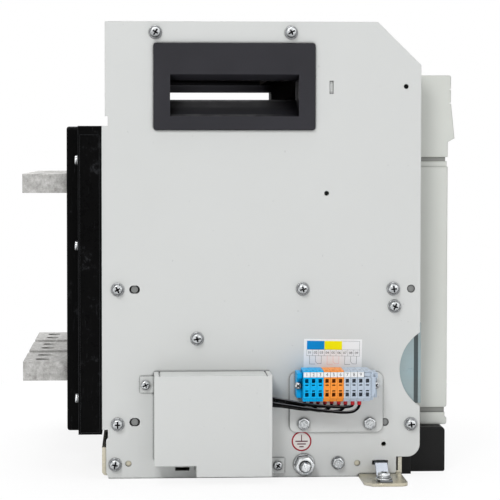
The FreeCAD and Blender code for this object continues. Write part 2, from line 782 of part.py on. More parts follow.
def make_rail(name, side):
    """A Z-folded drawer rail: web, inward shelf that carries the breaker, front pull."""
    body = new_body("rail_" + name)
    outer = (INNER - size("rail_gap")) * side
    web = (INNER - size("rail_gap") - size("rail_sheet")) * side
    shelf = web - size("rail_shelf") * side
    low = size("rail_bottom")
    high = size("rail_top")
    rear = size("rail_rear")
    front = -size("rail_front")
    bend = -size("rail_bend")
    outline = [
        (rear, low), (rear, high - 20), (rear - 20, high), (bend, high), (bend, low),
    ]
    slab(body, "YZ", outer, web, outline)
    joggle = size("rail_joggle") * side
    strip = -size("rail_strip")
    nose = [
        (outer, bend), (outer - joggle, strip), (outer - joggle, front), (web - joggle, front),
        (web - joggle, strip), (web, bend),
    ]
    slab(body, "XY", low, high, nose)
    slab(body, "YZ", web, shelf, box(bend, rear, low, low + size("rail_sheet")))
    slab(body, "XZ", front, front + size("rail_sheet"), box(web - joggle, shelf, low, high - 8))
    slab(body, "YZ", web - joggle, shelf, box(front, bend, low, low + size("rail_sheet")))
    cut(body, "YZ", outer, web, box(as_size(-30), as_size(10), low + 22, low + 34, 5))
    return body


def make_rail_guides():
    body = new_body("rail_guides")
    for side in (-1, 1):
        add_rail_guide(body, side)
    add_rail_stops(body)


def add_rail_guide(body, side):
    outer = INNER * side
    leaf = (INNER - size("leaf")) * side
    track = (INNER - size("rail_gap") - size("rail_sheet") - RUN_GAP) * side
    lip = track - size("leaf") * side
    rear = size("rail_rear")
    front = -size("guide_front")
    top = size("rail_top") + RUN_GAP
    upper = size("upper_guide_top")
    slab(body, "YZ", outer, leaf, box(front, rear + 8, top, upper))
    slab(body, "YZ", leaf, lip, box(front, rear, top, top + size("leaf")))
    slab(body, "YZ", track, lip, box(front, rear - 24, top - 7, top + 1))
    floor = size("rail_bottom") - RUN_GAP
    bottom = size("lower_guide_bottom")
    shelf = (INNER - size("rail_gap") - size("rail_sheet") - size("rail_shelf") - RUN_GAP) * side
    edge = shelf - size("leaf") * side
    slab(body, "YZ", outer, leaf, box(front, rear + 8, bottom, floor - size("leaf")))
    slab(body, "YZ", outer, edge, box(front, rear, floor - size("leaf"), floor))
    slab(body, "YZ", shelf, edge, box(front, rear, floor - 1, floor + 4))
    places = guide_screw_places() + strip_screw_places()
    holes = [disc(y, z, screw_bore()) for y, z in places]
    cut(body, "YZ", outer, leaf, *holes, *rear_pin_slots())
    hole = size("pin_hole_radius")
    roots = [disc(y, z, hole + 0.2) for y, z in rear_pin_places()]
    slab(body, "YZ", outer, leaf, *roots)
    places = rear_pin_places() + front_pin_places()
    pins = [disc(y, z, hole - size("pin_gap")) for y, z in places]
    slab(body, "YZ", outer, outer + size("pin_proud") * side, *pins)


def add_rail_stops(body):
    y = size("stop_screw_y")
    z = size("stop_screw_z")
    for side in (-1, 1):
        outer = INNER * side
        inner = (INNER - size("rail_gap") + 0.6) * side
        slab(body, "YZ", outer, inner, spread_box(y, z, 16, 14))
        cut(body, "YZ", outer, inner, disc(y, z, screw_bore()))


# Handle bezels

def make_handles():
    """Moulded grips: proud frame, bevelled upper lip and a scoop that rises inwards."""
    body = new_body("side_handles")
    for side in (-1, 1):
        add_handle(body, side)


def add_handle(body, side):
    outer = (HALF + size("bezel_proud")) * side
    face = HALF * side
    deep = (HALF - size("grip_depth")) * side
    wall = size("grip_wall")
    frame = box(
        -size("bezel_front"), size("bezel_rear"), size("bezel_bottom"), size("bezel_top"), 2
    )
    slab(body, "YZ", face, outer, frame)
    shell = box(
        -size("grip_front") - wall, size("grip_rear") + wall, size("grip_low") - wall,
        size("grip_high") + wall,
    )
    slab(body, "YZ", face, deep, shell)
    scoop = size("scoop_height")
    low = size("grip_low")
    opening = [
        (outer, low), (outer, size("grip_high")), (outer - 7 * side, size("lip_height")),
        (deep, size("lip_height")), (deep, scoop), (deep + 6 * side, scoop - 1.5),
        (deep + 14 * side, scoop - 6.5), (deep + 21 * side, low + 2),
    ]
    cut(body, "XZ", -size("grip_front"), size("grip_rear"), opening)
    corner_edge = size("grip_rear").number
    round_edges(body, 1, lambda edge, middle: on_frame_face(edge, middle, outer, corner_edge))
    return body


def on_frame_face(edge, middle, outer, reach):
    at_face = abs(middle.x - outer.number) < 0.01
    outside = middle.y > reach + 3 or middle.y < -size("grip_front").number - 3
    beyond = middle.z > size("grip_high").number + 3 or middle.z < size("grip_low").number - 3
    return at_face and (outside or beyond)


# Racking unit

def make_racking_housing():
    body = new_body("racking_housing")
    half = size("unit_half")
    front = -size("unit_front")
    step = -size("unit_step")
    rear = -size("unit_rear")
    top = size("unit_top")
    profile = [(rear, 0), (front, 0, 1.5), (front, top, 3), (rear, top)]
    slab(body, "YZ", -half, half, profile)
    ear = size("unit_ear")
    for side in (-1, 1):
        slab(body, "YZ", half * side, ear * side, box(step, rear, 0, top - 4))
    z = size("spindle_z")
    cut(body, "XZ", front, rear, disc(0, z, size("spindle_radius") + 0.1))
    cut(body, "XZ", front, front + 5, disc(0, z, 13))
    window = spread_box(-size("indicator_x"), z + 4, as_size(38), as_size(9))
    cut(body, "XZ", front, front + 6, window)
    cut(body, "XZ", front, front + 12, disc(size("button_x"), z, 6.2))
    cut(body, "XZ", front, rear, disc(size("crank_x"), z, 6.3))
    tab = spread_box(-size("crank_x"), z, as_size(18.6), as_size(3.6))
    cut(body, "XZ", front, front + 24, tab)
    hollow = [spread_box(x, z - 1, as_size(30), as_size(20)) for x in (-98, 101)]
    cut(body, "XZ", rear, front + 4, *hollow)
    return body


def make_racking_parts():
    z = size("spindle_z")
    front = -size("unit_front")
    radius = size("spindle_radius")
    end = -size("spindle_end")
    spindle = new_body("racking_spindle")
    slab(spindle, "XZ", front + 4, end, disc(0, z, radius))
    cut(spindle, "XZ", front + 4, front + 14, hexagon(0, z, as_size(3.6)))
    behind = -size("unit_rear")
    slab(spindle, "XZ", behind + 0.4, behind + 4, disc(0, z, size("collar_radius")))
    bearing = doc.getObject("base_pan")
    slab(bearing, "XZ", end - 2, end - 10, box(as_size(-14), as_size(14), PAN_TOP, z + 11))
    slab(bearing, "XY", PAN_TOP, PAN_TOP + 3, box(as_size(-14), as_size(14), end - 10, end + 14))
    cut(bearing, "XZ", end - 10, end - 2, disc(0, z, radius + 0.1))
    carriage = new_body("racking_carriage")
    rear = end - 14
    nut_front = rear - 20
    slab(carriage, "XZ", rear, nut_front, box(as_size(-13), as_size(13), z - 11, z + 11))
    half = size("carriage_half")
    slab(carriage, "XY", z + 11, z + 14, box(-half, half, nut_front, rear))
    pins = [spread_box(x, nut_front + 3, as_size(10), as_size(6)) for x in (-48, 48)]
    slab(carriage, "XY", z + 14, size("chassis_bottom") - 0.5, *pins)
    cut(carriage, "XZ", nut_front, rear, disc(0, z, radius + 0.1))
    indicator = new_body("position_indicator")
    across = -size("indicator_x") - 12
    slab(indicator, "XZ", front + 5.8, front + 3, spread_box(across, z + 4, as_size(8), as_size(8)))
    button = new_body("release_button")
    slab(button, "XZ", front - 2, front + 7, disc(size("button_x"), z, 6))
    tab = new_body("padlock_tab")
    tab_x = -size("crank_x")
    slab(tab, "XZ", front - 1, front + 21, spread_box(tab_x, z, as_size(18), as_size(3)))
    slab(tab, "XZ", front - 1, front - 2.5, spread_box(tab_x, z, as_size(20), as_size(6)))
    cut(tab, "XY", z - 2, z + 2, disc(tab_x, front + 9, 4))
    crank = new_body("crank_handle")
    slab(crank, "XZ", front + 0.5, -size("unit_rear") + 60, disc(size("crank_x"), z, 6))
    slab(crank, "XZ", front - 0.2, front - 3, disc(size("crank_x"), z, 9))


# Wiring cover, terminal strip and leads on the left side

def make_wiring_box():
    body = new_body("wiring_cover")
    outer = LEFT_FACE - size("box_proud")
    rear = size("box_rear")
    front = -size("box_front")
    low = size("box_bottom")
    high = size("box_top")
    wall = size("box_sheet")
    step_y = size("box_step_y")
    step_z = size("box_step_z")
    outline = [
        (rear, step_z), (step_y, step_z), (step_y, low), (front, low), (front, high), (rear, high),
    ]
    slab(body, "YZ", LEFT_FACE, outer, outline)
    inside = [
        (rear - wall, step_z + wall), (step_y - wall, step_z + wall), (step_y - wall, low + wall),
        (front + wall, low + wall), (front + wall, high - wall), (rear - wall, high - wall),
    ]
    cut(body, "YZ", LEFT_FACE, outer + wall, inside)
    exit_box = box(
        LEFT_FACE, outer + 3, size("wire_exit_low"), size("wire_exit_high")
    )
    cut(body, "XZ", front, front + wall, exit_box)
    tabs = [
        box(rear, rear + 10.8, high - 16.1, high - 3.5),
        box(front - 11.5, front, low - 2.5, low + 9.7),
    ]
    slab(body, "YZ", LEFT_FACE, LEFT_FACE - wall, *tabs)
    slots = [
        box(rear - 4.5, rear - 3.5, high - 0.6, high + 0.1),
        box(front + 3.5, front + 4.5, high - 0.6, high + 0.1),
    ]
    cut(body, "YZ", LEFT_FACE, outer, *slots)
    return body


def add_box_screws(body):
    places = [
        (size("box_rear") + 6.4, size("box_top") - 10.2),
        (-size("box_front") - 6.3, size("box_bottom") + 3.8),
    ]
    face = LEFT_FACE - size("box_sheet")
    slab(body, "YZ", face, face - 1, *[disc(y, z, size("washer_radius")) for y, z in places])
    slab(body, "YZ", face - 1, face - 4, *[disc(y, z, size("head_radius")) for y, z in places])


def make_position_switches():
    """Three switches, stacked behind the wiring cover, with a mounting bracket."""
    switches = new_body("position_switches")
    low = size("switch_low")
    pitch = size("switch_pitch")
    middle = size("switch_y")
    long = size("switch_length")
    face = LEFT_FACE - 1.5
    bracket = box(middle - long - 4, middle + long - 4, low - 8, low + pitch * 2 + 8)
    slab(switches, "YZ", LEFT_FACE, face, bracket)
    levels = [low + pitch * step for step in range(3)]
    boxes = [spread_box(middle, z, long, pitch - 3) for z in levels]
    slab(switches, "YZ", face, face - 16, *boxes)
    tips = [spread_box(middle - long / 2 - 4, z, 8, 5) for z in levels]
    slab(switches, "YZ", face, face - 12, *tips)


def block_profile():
    face = LEFT_FACE - size("block_proud")
    back = strip_seat()
    low = size("block_low")
    high = size("block_high")
    tag = low + size("tag_rise")
    half = size("tag_height") / 2 + 0.1
    seat = face + size("tag_seat")
    return [
        (back, low + 4), (back - 3.5, low), (face + 5, low), (face, low + 3.5),
        (face, tag - half), (seat, tag - half), (seat, tag + half), (face, tag + half),
        (face, high - 0.6), (face + 1, high), (back - 3.5, high), (back, high - 4),
    ]


def make_terminal_blocks():
    """A row of spring terminals, each one slice of the same profile."""
    pitch = size("block_pitch")
    start = -size("block_start")
    face = LEFT_FACE - size("block_proud")
    low = size("block_low")
    colours = (("terminals_blue", 0, 3), ("terminals_orange", 3, 3), ("terminals_grey", 6, 4))
    for label, first, count in colours:
        body = new_body(label)
        for slot in range(first, first + count):
            near = start - pitch * slot - 0.06
            slab(body, "XZ", near, near - pitch + 0.12, block_profile())
        entries = []
        for slot in range(first, first + count):
            middle = start - pitch * (slot + 0.5)
            for z in (5.95, 16.4):
                entries.append(spread_box(middle, low + z, 2.6, 3))
            for z in (8.8, 13.2):
                entries.append(spread_box(middle, low + z, 2.3, 0.9))
        cut(body, "YZ", face, face + 3, *entries)
        high = size("block_high")
        middles = [start - pitch * (slot + 0.5) for slot in range(first, first + count)]
        notches = [spread_box(face + 4.2, middle, 1.6, 2) for middle in middles]
        cut(body, "XY", high, high - 1.5, *notches)
    tags = new_body("marker_tags")
    seat = face + size("tag_seat")
    plates = []
    for slot in range(9):
        middle = start - pitch * (slot + 0.5)
        tag = spread_box(middle, low + size("tag_rise"), size("tag_width"), size("tag_height"))
        plates.append(tag)
    slab(tags, "YZ", seat, face - 0.2, *plates)


def make_strip_ends():
    """The clamps that close the strip, each with a screw into the plate behind it."""
    start = -size("block_start")
    finish = start - size("block_pitch") * 10
    back = strip_seat()
    face = LEFT_FACE - size("block_proud")
    clamp = LEFT_FACE - size("clamp_proud")
    low = size("block_low")
    high = size("block_high")
    cover = [
        (back, low + 3), (face + 4, low + 1), (face + 1, low + 5), (face + 1, high - 3),
        (face + 3, high - 1), (back, high - 2),
    ]
    end_wall = size("end_wall")
    grey = doc.getObject("terminals_grey")
    slab(grey, "XZ", finish - 0.06, finish - end_wall, cover)
    lip = box(face + 1, face + 5.5, low + 6, high - 5)
    slab(grey, "XZ", finish - end_wall, finish - end_wall - 1.6, lip)
    screws = new_body("strip_screws")
    head = size("clamp_screw_radius")
    for label, edge, direction in (
        ("terminals_blue", start + 0.06, 1), ("terminals_grey", finish - end_wall, -1),
    ):
        body = doc.getObject(label)
        outside = edge + size("clamp_width") * direction
        edges = (edge, outside) if direction > 0 else (outside, edge)
        slab(body, "YZ", back, clamp, box(*edges, low + 2, high - 2.6))
        shoulder = box(*edges, high - 6.6, high - 2.6)
        slab(body, "YZ", clamp, clamp - 4, shoulder)
        centre = edge + size("clamp_screw_gap") * direction
        slab(screws, "YZ", clamp, clamp - 3, disc(centre, low + size("clamp_screw_rise"), head))


def strip_seat():
    """The outer face of the terminal plate, on which the strip stands."""
    return LEFT_FACE - size("strip_stand") - size("strip_plate_sheet")


def make_terminal_plate():
    body = new_body("terminal_plate")
    face = LEFT_FACE - size("strip_stand")
    plate = box(
        -size("strip_plate_front"), -size("strip_plate_rear"), size("strip_plate_low"),
        size("strip_plate_high"), 5,
    )
    seat = strip_seat()
    slab(body, "YZ", face, seat, plate)
    bosses = [disc(y, z, 6) for y, z in strip_screw_places()]
    slab(body, "YZ", face, LEFT_FACE, *bosses)
    places = strip_screw_places()
    cut(body, "YZ", LEFT_FACE, seat, *[disc(y, z, screw_bore()) for y, z in places])
    bolts = doc.getObject("strip_screws")
    slab(bolts, "YZ", seat, seat - 1, *[disc(y, z, 5.4) for y, z in places])
    slab(bolts, "YZ", seat - 1, seat - 4.6, *[hexagon(y, z, as_size(4.9)) for y, z in places])
    inner = LEFT_FACE + size("screw_grip")
    slab(bolts, "YZ", seat, inner, *[disc(y, z, size("shank_radius")) for y, z in places])


def bend_radius(points, index):
    """The arc that a lead takes at a corner, as large as its two runs allow."""
    one = points[index] - points[index - 1]
    two = points[index + 1] - points[index]
    one_share = 0.95 if index == 1 else 0.48
    two_share = 0.95 if index == len(points) - 2 else 0.48
    trim = min(one.Length * one_share, two.Length * two_share)
    return min(LARGEST_BEND, trim / math.tan(one.getAngle(two) / 2))


def lead(points, radius):
    """A tube along straight runs that tangent arcs join."""
    edges = []
    here = points[0]
    smallest = 1e9
    for index in range(1, len(points) - 1):
        corner = points[index]
        one = (corner - points[index - 1]).normalize()
        two = (points[index + 1] - corner).normalize()
        bend = bend_radius(points, index)
        smallest = min(smallest, bend)
        trim = bend * math.tan(one.getAngle(two) / 2)
        first = corner - one * trim
        last = corner + two * trim
        inward = (two - one).normalize()
        centre_gap = bend / math.cos(one.getAngle(two) / 2)
        middle = corner + inward * (centre_gap - bend)
        edges.append(Part.LineSegment(here, first).toShape())
        edges.append(Part.Arc(first, middle, last).toShape())
        here = last
    edges.append(Part.LineSegment(here, points[-1]).toShape())
    path = Part.Wire(edges)
    direction = points[1] - points[0]
    ring = Part.Wire(Part.makeCircle(radius, points[0], direction))
    tube = path.makePipeShell([ring], True, False)
    expected = math.pi * radius ** 2 * path.Length
    if abs(tube.Volume - expected) > 0.02 * expected:
        raise RuntimeError("a lead has the wrong volume")
    return tube, smallest


# The run that the lower lead of each pair follows, as (Y, Z).
LEAD_RUN = [(-6, 60.6), (-30, 57.4), (-53.5, 53.9)]
LEAD_DIP = 53.9
LEAD_TURN = 56.6
LEAD_PAIR_GAP = 2.5
LEAD_LAYER_GAP = 2.45
LARGEST_BEND = 25


def lead_depth(slot):
    """The layer of a lead: one lies nearest the plate, then four pairs, one over the other."""
    return LEFT_FACE - 7.5 - LEAD_LAYER_GAP * ((slot + 1) // 2)


def lead_points(slot):
    """The route of one lead: out of the cover, a low sag, then up into its terminal."""
    x = lead_depth(slot).number
    end_y = -(size("block_start").number + size("block_pitch").number * (slot + 0.5))
    end_z = size("block_low").number - size("ferrule_length").number
    if slot % 2 == 1:
        points = [(y, z + LEAD_PAIR_GAP) for y, z in LEAD_RUN if y > end_y + 8]
    else:
        points = [(y, z) for y, z in LEAD_RUN if y > end_y + 13]
        points.append((end_y + 7, LEAD_DIP if slot else LEAD_DIP + 1.9))
    points += [(end_y, LEAD_TURN), (end_y, end_z)]
    return [FreeCAD.Vector(x, y, z) for y, z in points]


def make_leads():
    ferrules = new_body("wire_ferrules")
    tubes = []
    low = size("block_low")
    for slot in range(9):
        points = lead_points(slot)
        tube, smallest = lead(points, size("wire_radius").number)
        print(f"lead {slot + 1}: smallest radius {smallest:.1f}")
        tubes.append(tube)
        y = -size("block_start") - size("block_pitch") * (slot + 0.5)
        x = lead_depth(slot)
        slab(ferrules, "XY", low - size("ferrule_length"), low, disc(x, y, size("ferrule_radius")))
    harness = doc.addObject("Part::Feature", "wire_harness")
    harness.Label = "wire_harness"
    harness.Shape = Part.makeCompound(tubes)
    harness.Placement = FreeCAD.Placement()


def make_earth_point():
    y = -size("stud_y")
    z = size("stud_z")
    stud = new_body("earth_point")
    slab(stud, "YZ", LEFT_FACE - 15.5, LEFT_FACE + 6.4, disc(y, z, size("stud_radius")))
    slab(stud, "YZ", LEFT_FACE + 4.4, LEFT_FACE + 9, hexagon(y, z, as_size(6.7)))
    slab(stud, "YZ", LEFT_FACE, LEFT_FACE - 1.6, disc(y, z, 8.2))
    slab(stud, "YZ", LEFT_FACE - 1.6, LEFT_FACE - 3.6, disc(y, z, 6.6))
    slab(stud, "YZ", LEFT_FACE - 3.6, LEFT_FACE - 10.2, hexagon(y, z, size("nut_radius")))


def make_side_screws():
    body = new_body("side_screws")
    add_box_screws(body)
    for side in (-1, 1):
        places = side_screw_places(side)
        face = HALF * side
        seat = (HALF + size("washer_thick")) * side
        top = (HALF + size("washer_thick") + size("head_height")) * side
        tail = (HALF - size("screw_grip")) * side
        slab(body, "YZ", face, seat, *[disc(y, z, size("washer_radius")) for y, z in places])
        slab(body, "YZ", seat, top, *[disc(y, z, size("head_radius")) for y, z in places])
        slab(body, "YZ", face, tail, *[disc(y, z, size("shank_radius")) for y, z in places])


def add_wing_screws(body):
    levels = (size("wing_screw_high"), size("wing_screw_middle"), size("wing_screw_low"))
    places = [(size("wing_screw_x") * side, z) for side in (-1, 1) for z in levels]
    rear = size("wing_rear")
    slab(body, "XZ", rear, rear + 2.6, *[disc(x, z, 4) for x, z in places])


# Breaker

def make_chassis():
    body = new_body("breaker_chassis")
    half = size("chassis_spread") / 2
    sheet_thick = size("chassis_sheet")
    low = size("chassis_bottom")
    high = size("chassis_height")
    front = -size("chassis_front")
    rear = size("case_rear") - 6
    side_outline = [
        (rear, low), (rear, high - 60), (rear - 40, high), (front + 6, high), (front, high - 8),
        (front, low),
    ]
    for side in (-1, 1):
        slab(body, "YZ", half * side, (half - sheet_thick) * side, side_outline)
    slab(body, "XY", low, low + sheet_thick, box(-half, half, front, rear))
    lugs = [spread_box(x, -size("spindle_end") - 37, as_size(12), as_size(3)) for x in (-48, 48)]
    slab(body, "XY", low, low - 3.3, *lugs)
    for side in (-1, 1):
        bores = [disc(-size("shaft_y"), size("shaft_z"), size("shaft_radius") + size("shaft_gap"))]
        cut(body, "YZ", half * side, (half - sheet_thick) * side, *bores)
    return body


def make_support_pins():
    pins = new_body("support_rollers")
    half = size("chassis_spread") / 2
    z = size("rail_bottom") + size("rail_sheet") + RUN_GAP + size("roller_radius")
    places = (size("rear_roller_y"), -size("front_roller_y"))
    spots = [disc(y, z, size("roller_pin")) for y in places]
    rings = [disc(y, z, size("roller_radius")) for y in places]
    track = INNER - size("rail_gap") - size("rail_sheet")
    for side in (-1, 1):
        slab(pins, "YZ", half * side, (track - 2) * side, *spots)
        slab(pins, "YZ", (track - 13) * side, (track - 3) * side, *rings)


def make_pole_case():
    """Two moulded halves with a rib between the poles and pockets for the arc chutes."""
    half = size("case_half")
    low = size("case_bottom")
    top = size("case_top")
    rear = size("case_rear")
    split = size("case_split")
    front = -size("case_front")
    base = new_body("pole_base")
    slab(base, "XZ", split, rear, box(-half, half, low, top))
    cut(base, "XZ", rear, rear - 14, *cells(size("cell_width") - 3, as_size(40)))
    pockets = [
        spread_box(POLE * pole, (size("chute_rear") + split) / 2, size("chute_width") + 0.6,
                   size("chute_rear") - split + 0.6) for pole in (-1, 0, 1)
    ]
    cut(base, "XY", top, top - 20, *pockets)
    blades = cells(size("blade_width") + 0.2, size("stub_thick") + 0.2)
    cut(base, "XZ", rear - 14, rear - 40, *blades)
    case = new_body("pole_case")
    slab(case, "XZ", split, front, box(-half, half, low, top - 4))
    grooves = []
    for pole in (-1, 0, 1):
        grooves.append(spread_box(POLE * pole, (low + top) / 2 - 2, as_size(50), top - low - 40))
    cut(case, "XZ", front, front + size("case_wall"), *grooves)
    return base, case


def make_arc_chutes():
    body = new_body("arc_chutes")
    split = size("case_split")
    rear = size("chute_rear")
    top = size("chute_top")
    middle_y = (rear + split) / 2
    depth = rear - split
    low = size("case_top") - 20
    covers = [spread_box(POLE * pole, middle_y, size("chute_width"), depth) for pole in (-1, 0, 1)]
    slab(body, "XY", low, top, *covers)
    slots = []
    for pole in (-1, 0, 1):
        for step in range(6):
            y = split + 10 + 8 * step
            slots.append(spread_box(POLE * pole, y, as_size(44), as_size(3.4)))
    cut(body, "XY", top, top - 8, *slots)


def make_blades():
    body = new_body("main_blades")
    for level in BAR_LEVELS:
        blades = [
            spread_box(POLE * pole, level, size("blade_width"), size("stub_thick"))
            for pole in (-1, 0, 1)
        ]
        slab(body, "XZ", size("case_rear") - 40, size("blade_tip"), *blades)


def make_mechanism():
    """The switching shaft with its three arms, in the side plates of the chassis."""
    shaft = new_body("main_shaft")
    half = size("chassis_spread") / 2
    y = -size("shaft_y")
    z = size("shaft_z")
    radius = size("shaft_radius")
    slab(shaft, "YZ", -half - 1.5, half + 1.5, disc(y, z, radius))
    for pole in (-1, 0, 1):
        x = POLE * pole
        arm = [
            (y - 9, z - 11), (y + 9, z - 11), (y + 5, z + 24, 4), (y - 5, z + 24, 4),
        ]
        slab(shaft, "YZ", x - 5, x + 5, arm)
    frame = new_body("mechanism_frame")
    rear = -size("case_front") - 2
    front = -size("frame_front")
    low = size("frame_low")
    high = size("frame_high")
    plate = [
        (rear, low), (front + 4, low), (front, low + 30), (front, high - 10), (front + 28, high),
        (rear, high - 30),
    ]
    sheet_thick = size("frame_sheet")
    outside = size("frame_spread") / 2
    inside = outside - sheet_thick
    for side in (-1, 1):
        slab(frame, "YZ", outside * side, inside * side, plate)
        bore = disc(y, z, radius + size("shaft_gap"))
        cut(frame, "YZ", outside * side, inside * side, bore)
    floor = low + sheet_thick
    slab(frame, "XY", low, floor, box(-inside, inside, front + 4, rear))
    spring = new_body("closing_spring")
    top = floor + size("spring_length")
    spring_y = -size("spring_y")
    slab(spring, "XY", floor, top, disc(0, spring_y, size("spring_radius")))
    cut(spring, "XY", floor, top, disc(0, spring_y, size("spring_radius") - size("spring_wire")))


def make_plug_blocks():
    """Auxiliary plug: pins on the breaker enter sockets that hang from the front tie bar."""
    half = size("plug_half")
    fixed = new_body("auxiliary_socket")
    bottom = size("plug_bottom")
    rear = -size("front_tie_y") + size("tie_bar_depth") / 2
    front = -size("plug_front")
    top = size("tie_screw_z") - size("tie_bar_height") / 2
    step_y = -size("socket_step_y")
    step_z = size("socket_step_z")
    section = [
        (front, bottom), (step_y, bottom, 2), (step_y, step_z), (rear, step_z), (rear, top),
        (front, top),
    ]
    slab(fixed, "YZ", -half, half, section)
    moving = new_body("auxiliary_plug")
    back = -size("cover_rear") + 2
    slab(moving, "XZ", front - 1, back, box(-half, half, bottom, top - 4))
    foot = size("chassis_height") - 20
    leg = size("plug_leg_width")
    legs = [box(-half, -half + leg, foot, bottom), box(half - leg, half, foot, bottom)]
    slab(moving, "XZ", back, back + 5, *legs)
    level = (step_z + top) / 2 - 4
    across = [size("pin_pitch") * (index - 5.5) for index in range(12)]
    slab(moving, "XZ", front - 1, front + 12, *[spread_box(x, level, 1.2, 6) for x in across])
    cut(fixed, "XZ", front, front + 14, *[spread_box(x, level, 2, 6.8) for x in across])


# Front cover

def hollow_cover(label, outline, cavity):
    body = new_body(label)
    half = size("cover_spread") / 2
    slab(body, "YZ", -half, half, outline)
    inner = half - size("cover_wall")
    cut(body, "YZ", -inner, inner, cavity)
    return body


def make_front_cover():
    wall = size("cover_wall")
    rear = -size("cover_rear")
    face = -size("cover_face")
    low = size("main_low")
    high = size("main_top")
    band_height = size("band_height")
    back = face + size("band_recess")
    main = hollow_cover(
        "cover_main",
        [
            (rear, low), (face, low, 2), (face, high - band_height), (back, high - band_height),
            (back, high), (rear, high),
        ],
        [
            (rear, low + wall), (face + wall, low + wall), (face + wall, high - wall),
            (rear, high - wall),
        ],
    )
    half = size("window_half")
    cut(main, "XZ", face, face + wall, box(-half, half, size("window_low"), size("window_high"), 4))
    side = size("cover_spread") / 2
    for sign in (-1, 1):
        recess = (side - size("band_recess")) * sign
        cut(main, "YZ", side * sign, recess, box(face - 1, rear, high - band_height, high))
    brow = -size("brow_face")
    lip = -size("lip_face")
    band = size("band_low")
    bottom = size("brow_low")
    top = size("cover_top")
    upper = [
        (rear, band), (face, band), (face, bottom), (lip, bottom + 3), (brow, bottom + 32),
        (brow, top, 1.5), (rear, top),
    ]
    cavity = [
        (rear, band + wall), (face + wall, band + wall), (face + wall, bottom + 6),
        (brow + wall, bottom + 32), (brow + wall, top - wall), (rear, top - wall),
    ]
    shell = hollow_cover("cover_upper", upper, cavity)
    wide = size("groove_width")
    grooves = [
        box(brow - wide / 2, brow + wide, z - wide / 2, z + wide / 2)
        for z in (size("groove_high"), size("groove_low"))
    ]
    cut(shell, "YZ", -side, side, *grooves)
    make_skirt(rear, face, side, wall)
    make_cover_frame(rear, face, size("skirt_top"), low, high, band)


def make_skirt(rear, face, side, wall):
    """The low cover: its upper rim steps back behind the joint above it."""
    skirt_low = size("cover_bottom")
    skirt_top = size("skirt_top")
    step = size("skirt_step")
    rim = face + 1.5
    skirt = new_body("cover_skirt")
    profile = [
        (rear, skirt_low), (face, skirt_low, 2), (face, step, 1.2), (rim, step), (rim, skirt_top),
        (rear, skirt_top),
    ]
    slab(skirt, "YZ", -side, side, profile)
    inner = side - wall
    cut(skirt, "XY", skirt_top, skirt_low + 2.4, box(-inner, inner, face + 4, rear))


def make_cover_frame(rear, face, skirt_top, low, high, band):
    """The dark inner frame that carries the three covers and shows in their joints."""
    body = new_body("cover_frame")
    half = size("cover_spread") / 2 - 1
    back = rear + 2
    slab(body, "XZ", back, rear, box(-half, half, skirt_top - 6, size("cover_top") - 2))
    ledges = [box(-half, half, skirt_top, low), box(-half, half, high, band)]
    slab(body, "XZ", rear, face + size("joint_depth"), *ledges)
    inner = size("window_half") - 6
    cut(body, "XZ", back, rear, box(-inner, inner, low + 16, high - 12))


def make_control_panel():
    panel = new_body("control_panel")
    half = size("window_half") - 0.4
    face = -size("panel_face")
    low = size("window_low") + 0.4
    high = size("window_high") - 0.4
    back = face + 3
    slab(panel, "XZ", back, face, box(-half, half, low, high, 3.6))
    side_walls = [
        box(-half, -half + 3, low + 6, high - 6), box(half - 3, half, low + 6, high - 6),
    ]
    slab(panel, "XZ", back, -size("cover_rear"), *side_walls)
    lever_x = size("lever_x")
    width = size("lever_width") + 1.2
    lever_long = size("lever_top") - size("lever_low") + 24
    slot = spread_box(lever_x, (size("lever_low") + size("lever_top")) / 2, width, lever_long)
    column = size("column_x")
    wide = size("button_width")
    tall = size("button_height")
    gap = size("button_gap")
    buttons = [spread_box(column, z, wide + gap * 2, tall + gap * 2) for z in button_levels()]
    windows = [spread_box(column, z, wide - 2, tall / 2) for z in flag_levels()]
    trip = trip_outline(0)
    cut(panel, "XZ", face, back, slot, trip, *buttons, *windows)
    unit = new_body("trip_unit")
    slab(unit, "XZ", face - 2, -size("cover_rear") - 2, trip_outline(0.3))
    left = -size("trip_left")
    high = size("trip_high")
    display = box(left + 8, -size("trip_right") - 8, high - 40, high - 8)
    cut(unit, "XZ", face - 2, face, display)
    for label, z in zip(("on_button", "off_button"), button_levels()):
        button = new_body(label)
        slab(button, "XZ", face - 3, face + 7, spread_box(column, z, wide, tall))
        slab(button, "XZ", face + 7, face + 30, spread_box(column, z, 8, 8))
    make_indicators(face)
    make_charging_lever(face)


def trip_outline(margin):
    """The trip unit's outline in the panel, drawn in by a running gap."""
    left = -size("trip_left") + margin
    right = -size("trip_right") - margin
    return box(left, right, size("trip_low") + margin, size("trip_high") - margin)


def button_levels():
    return size("on_button_z"), size("off_button_z")


def flag_levels():
    return size("contact_flag_z"), size("charge_flag_z")


def make_indicators(face):
    x = size("column_x")
    axis = face + size("flag_depth")
    half = size("flag_half")
    pivot = size("flag_pivot_radius")
    for label, z in zip(("contact_indicator", "charge_indicator"), flag_levels()):
        body = new_body(label)
        slab(body, "YZ", x - half, x + half, disc(axis, z, size("flag_radius")))
        slab(body, "YZ", x - half - 3, x + half + 3, disc(axis, z, pivot))
    panel = doc.getObject("control_panel")
    cheek = box(face + 3, axis + 4.5, size("charge_flag_z") - 12, size("contact_flag_z") + 12)
    for side in (-1, 1):
        near = x + (half + 0.5) * side
        slab(panel, "YZ", near, near + 2 * side, cheek)
        bores = [disc(axis, z, pivot + 0.06) for z in flag_levels()]
        cut(panel, "YZ", near, near + 2 * side, *bores)


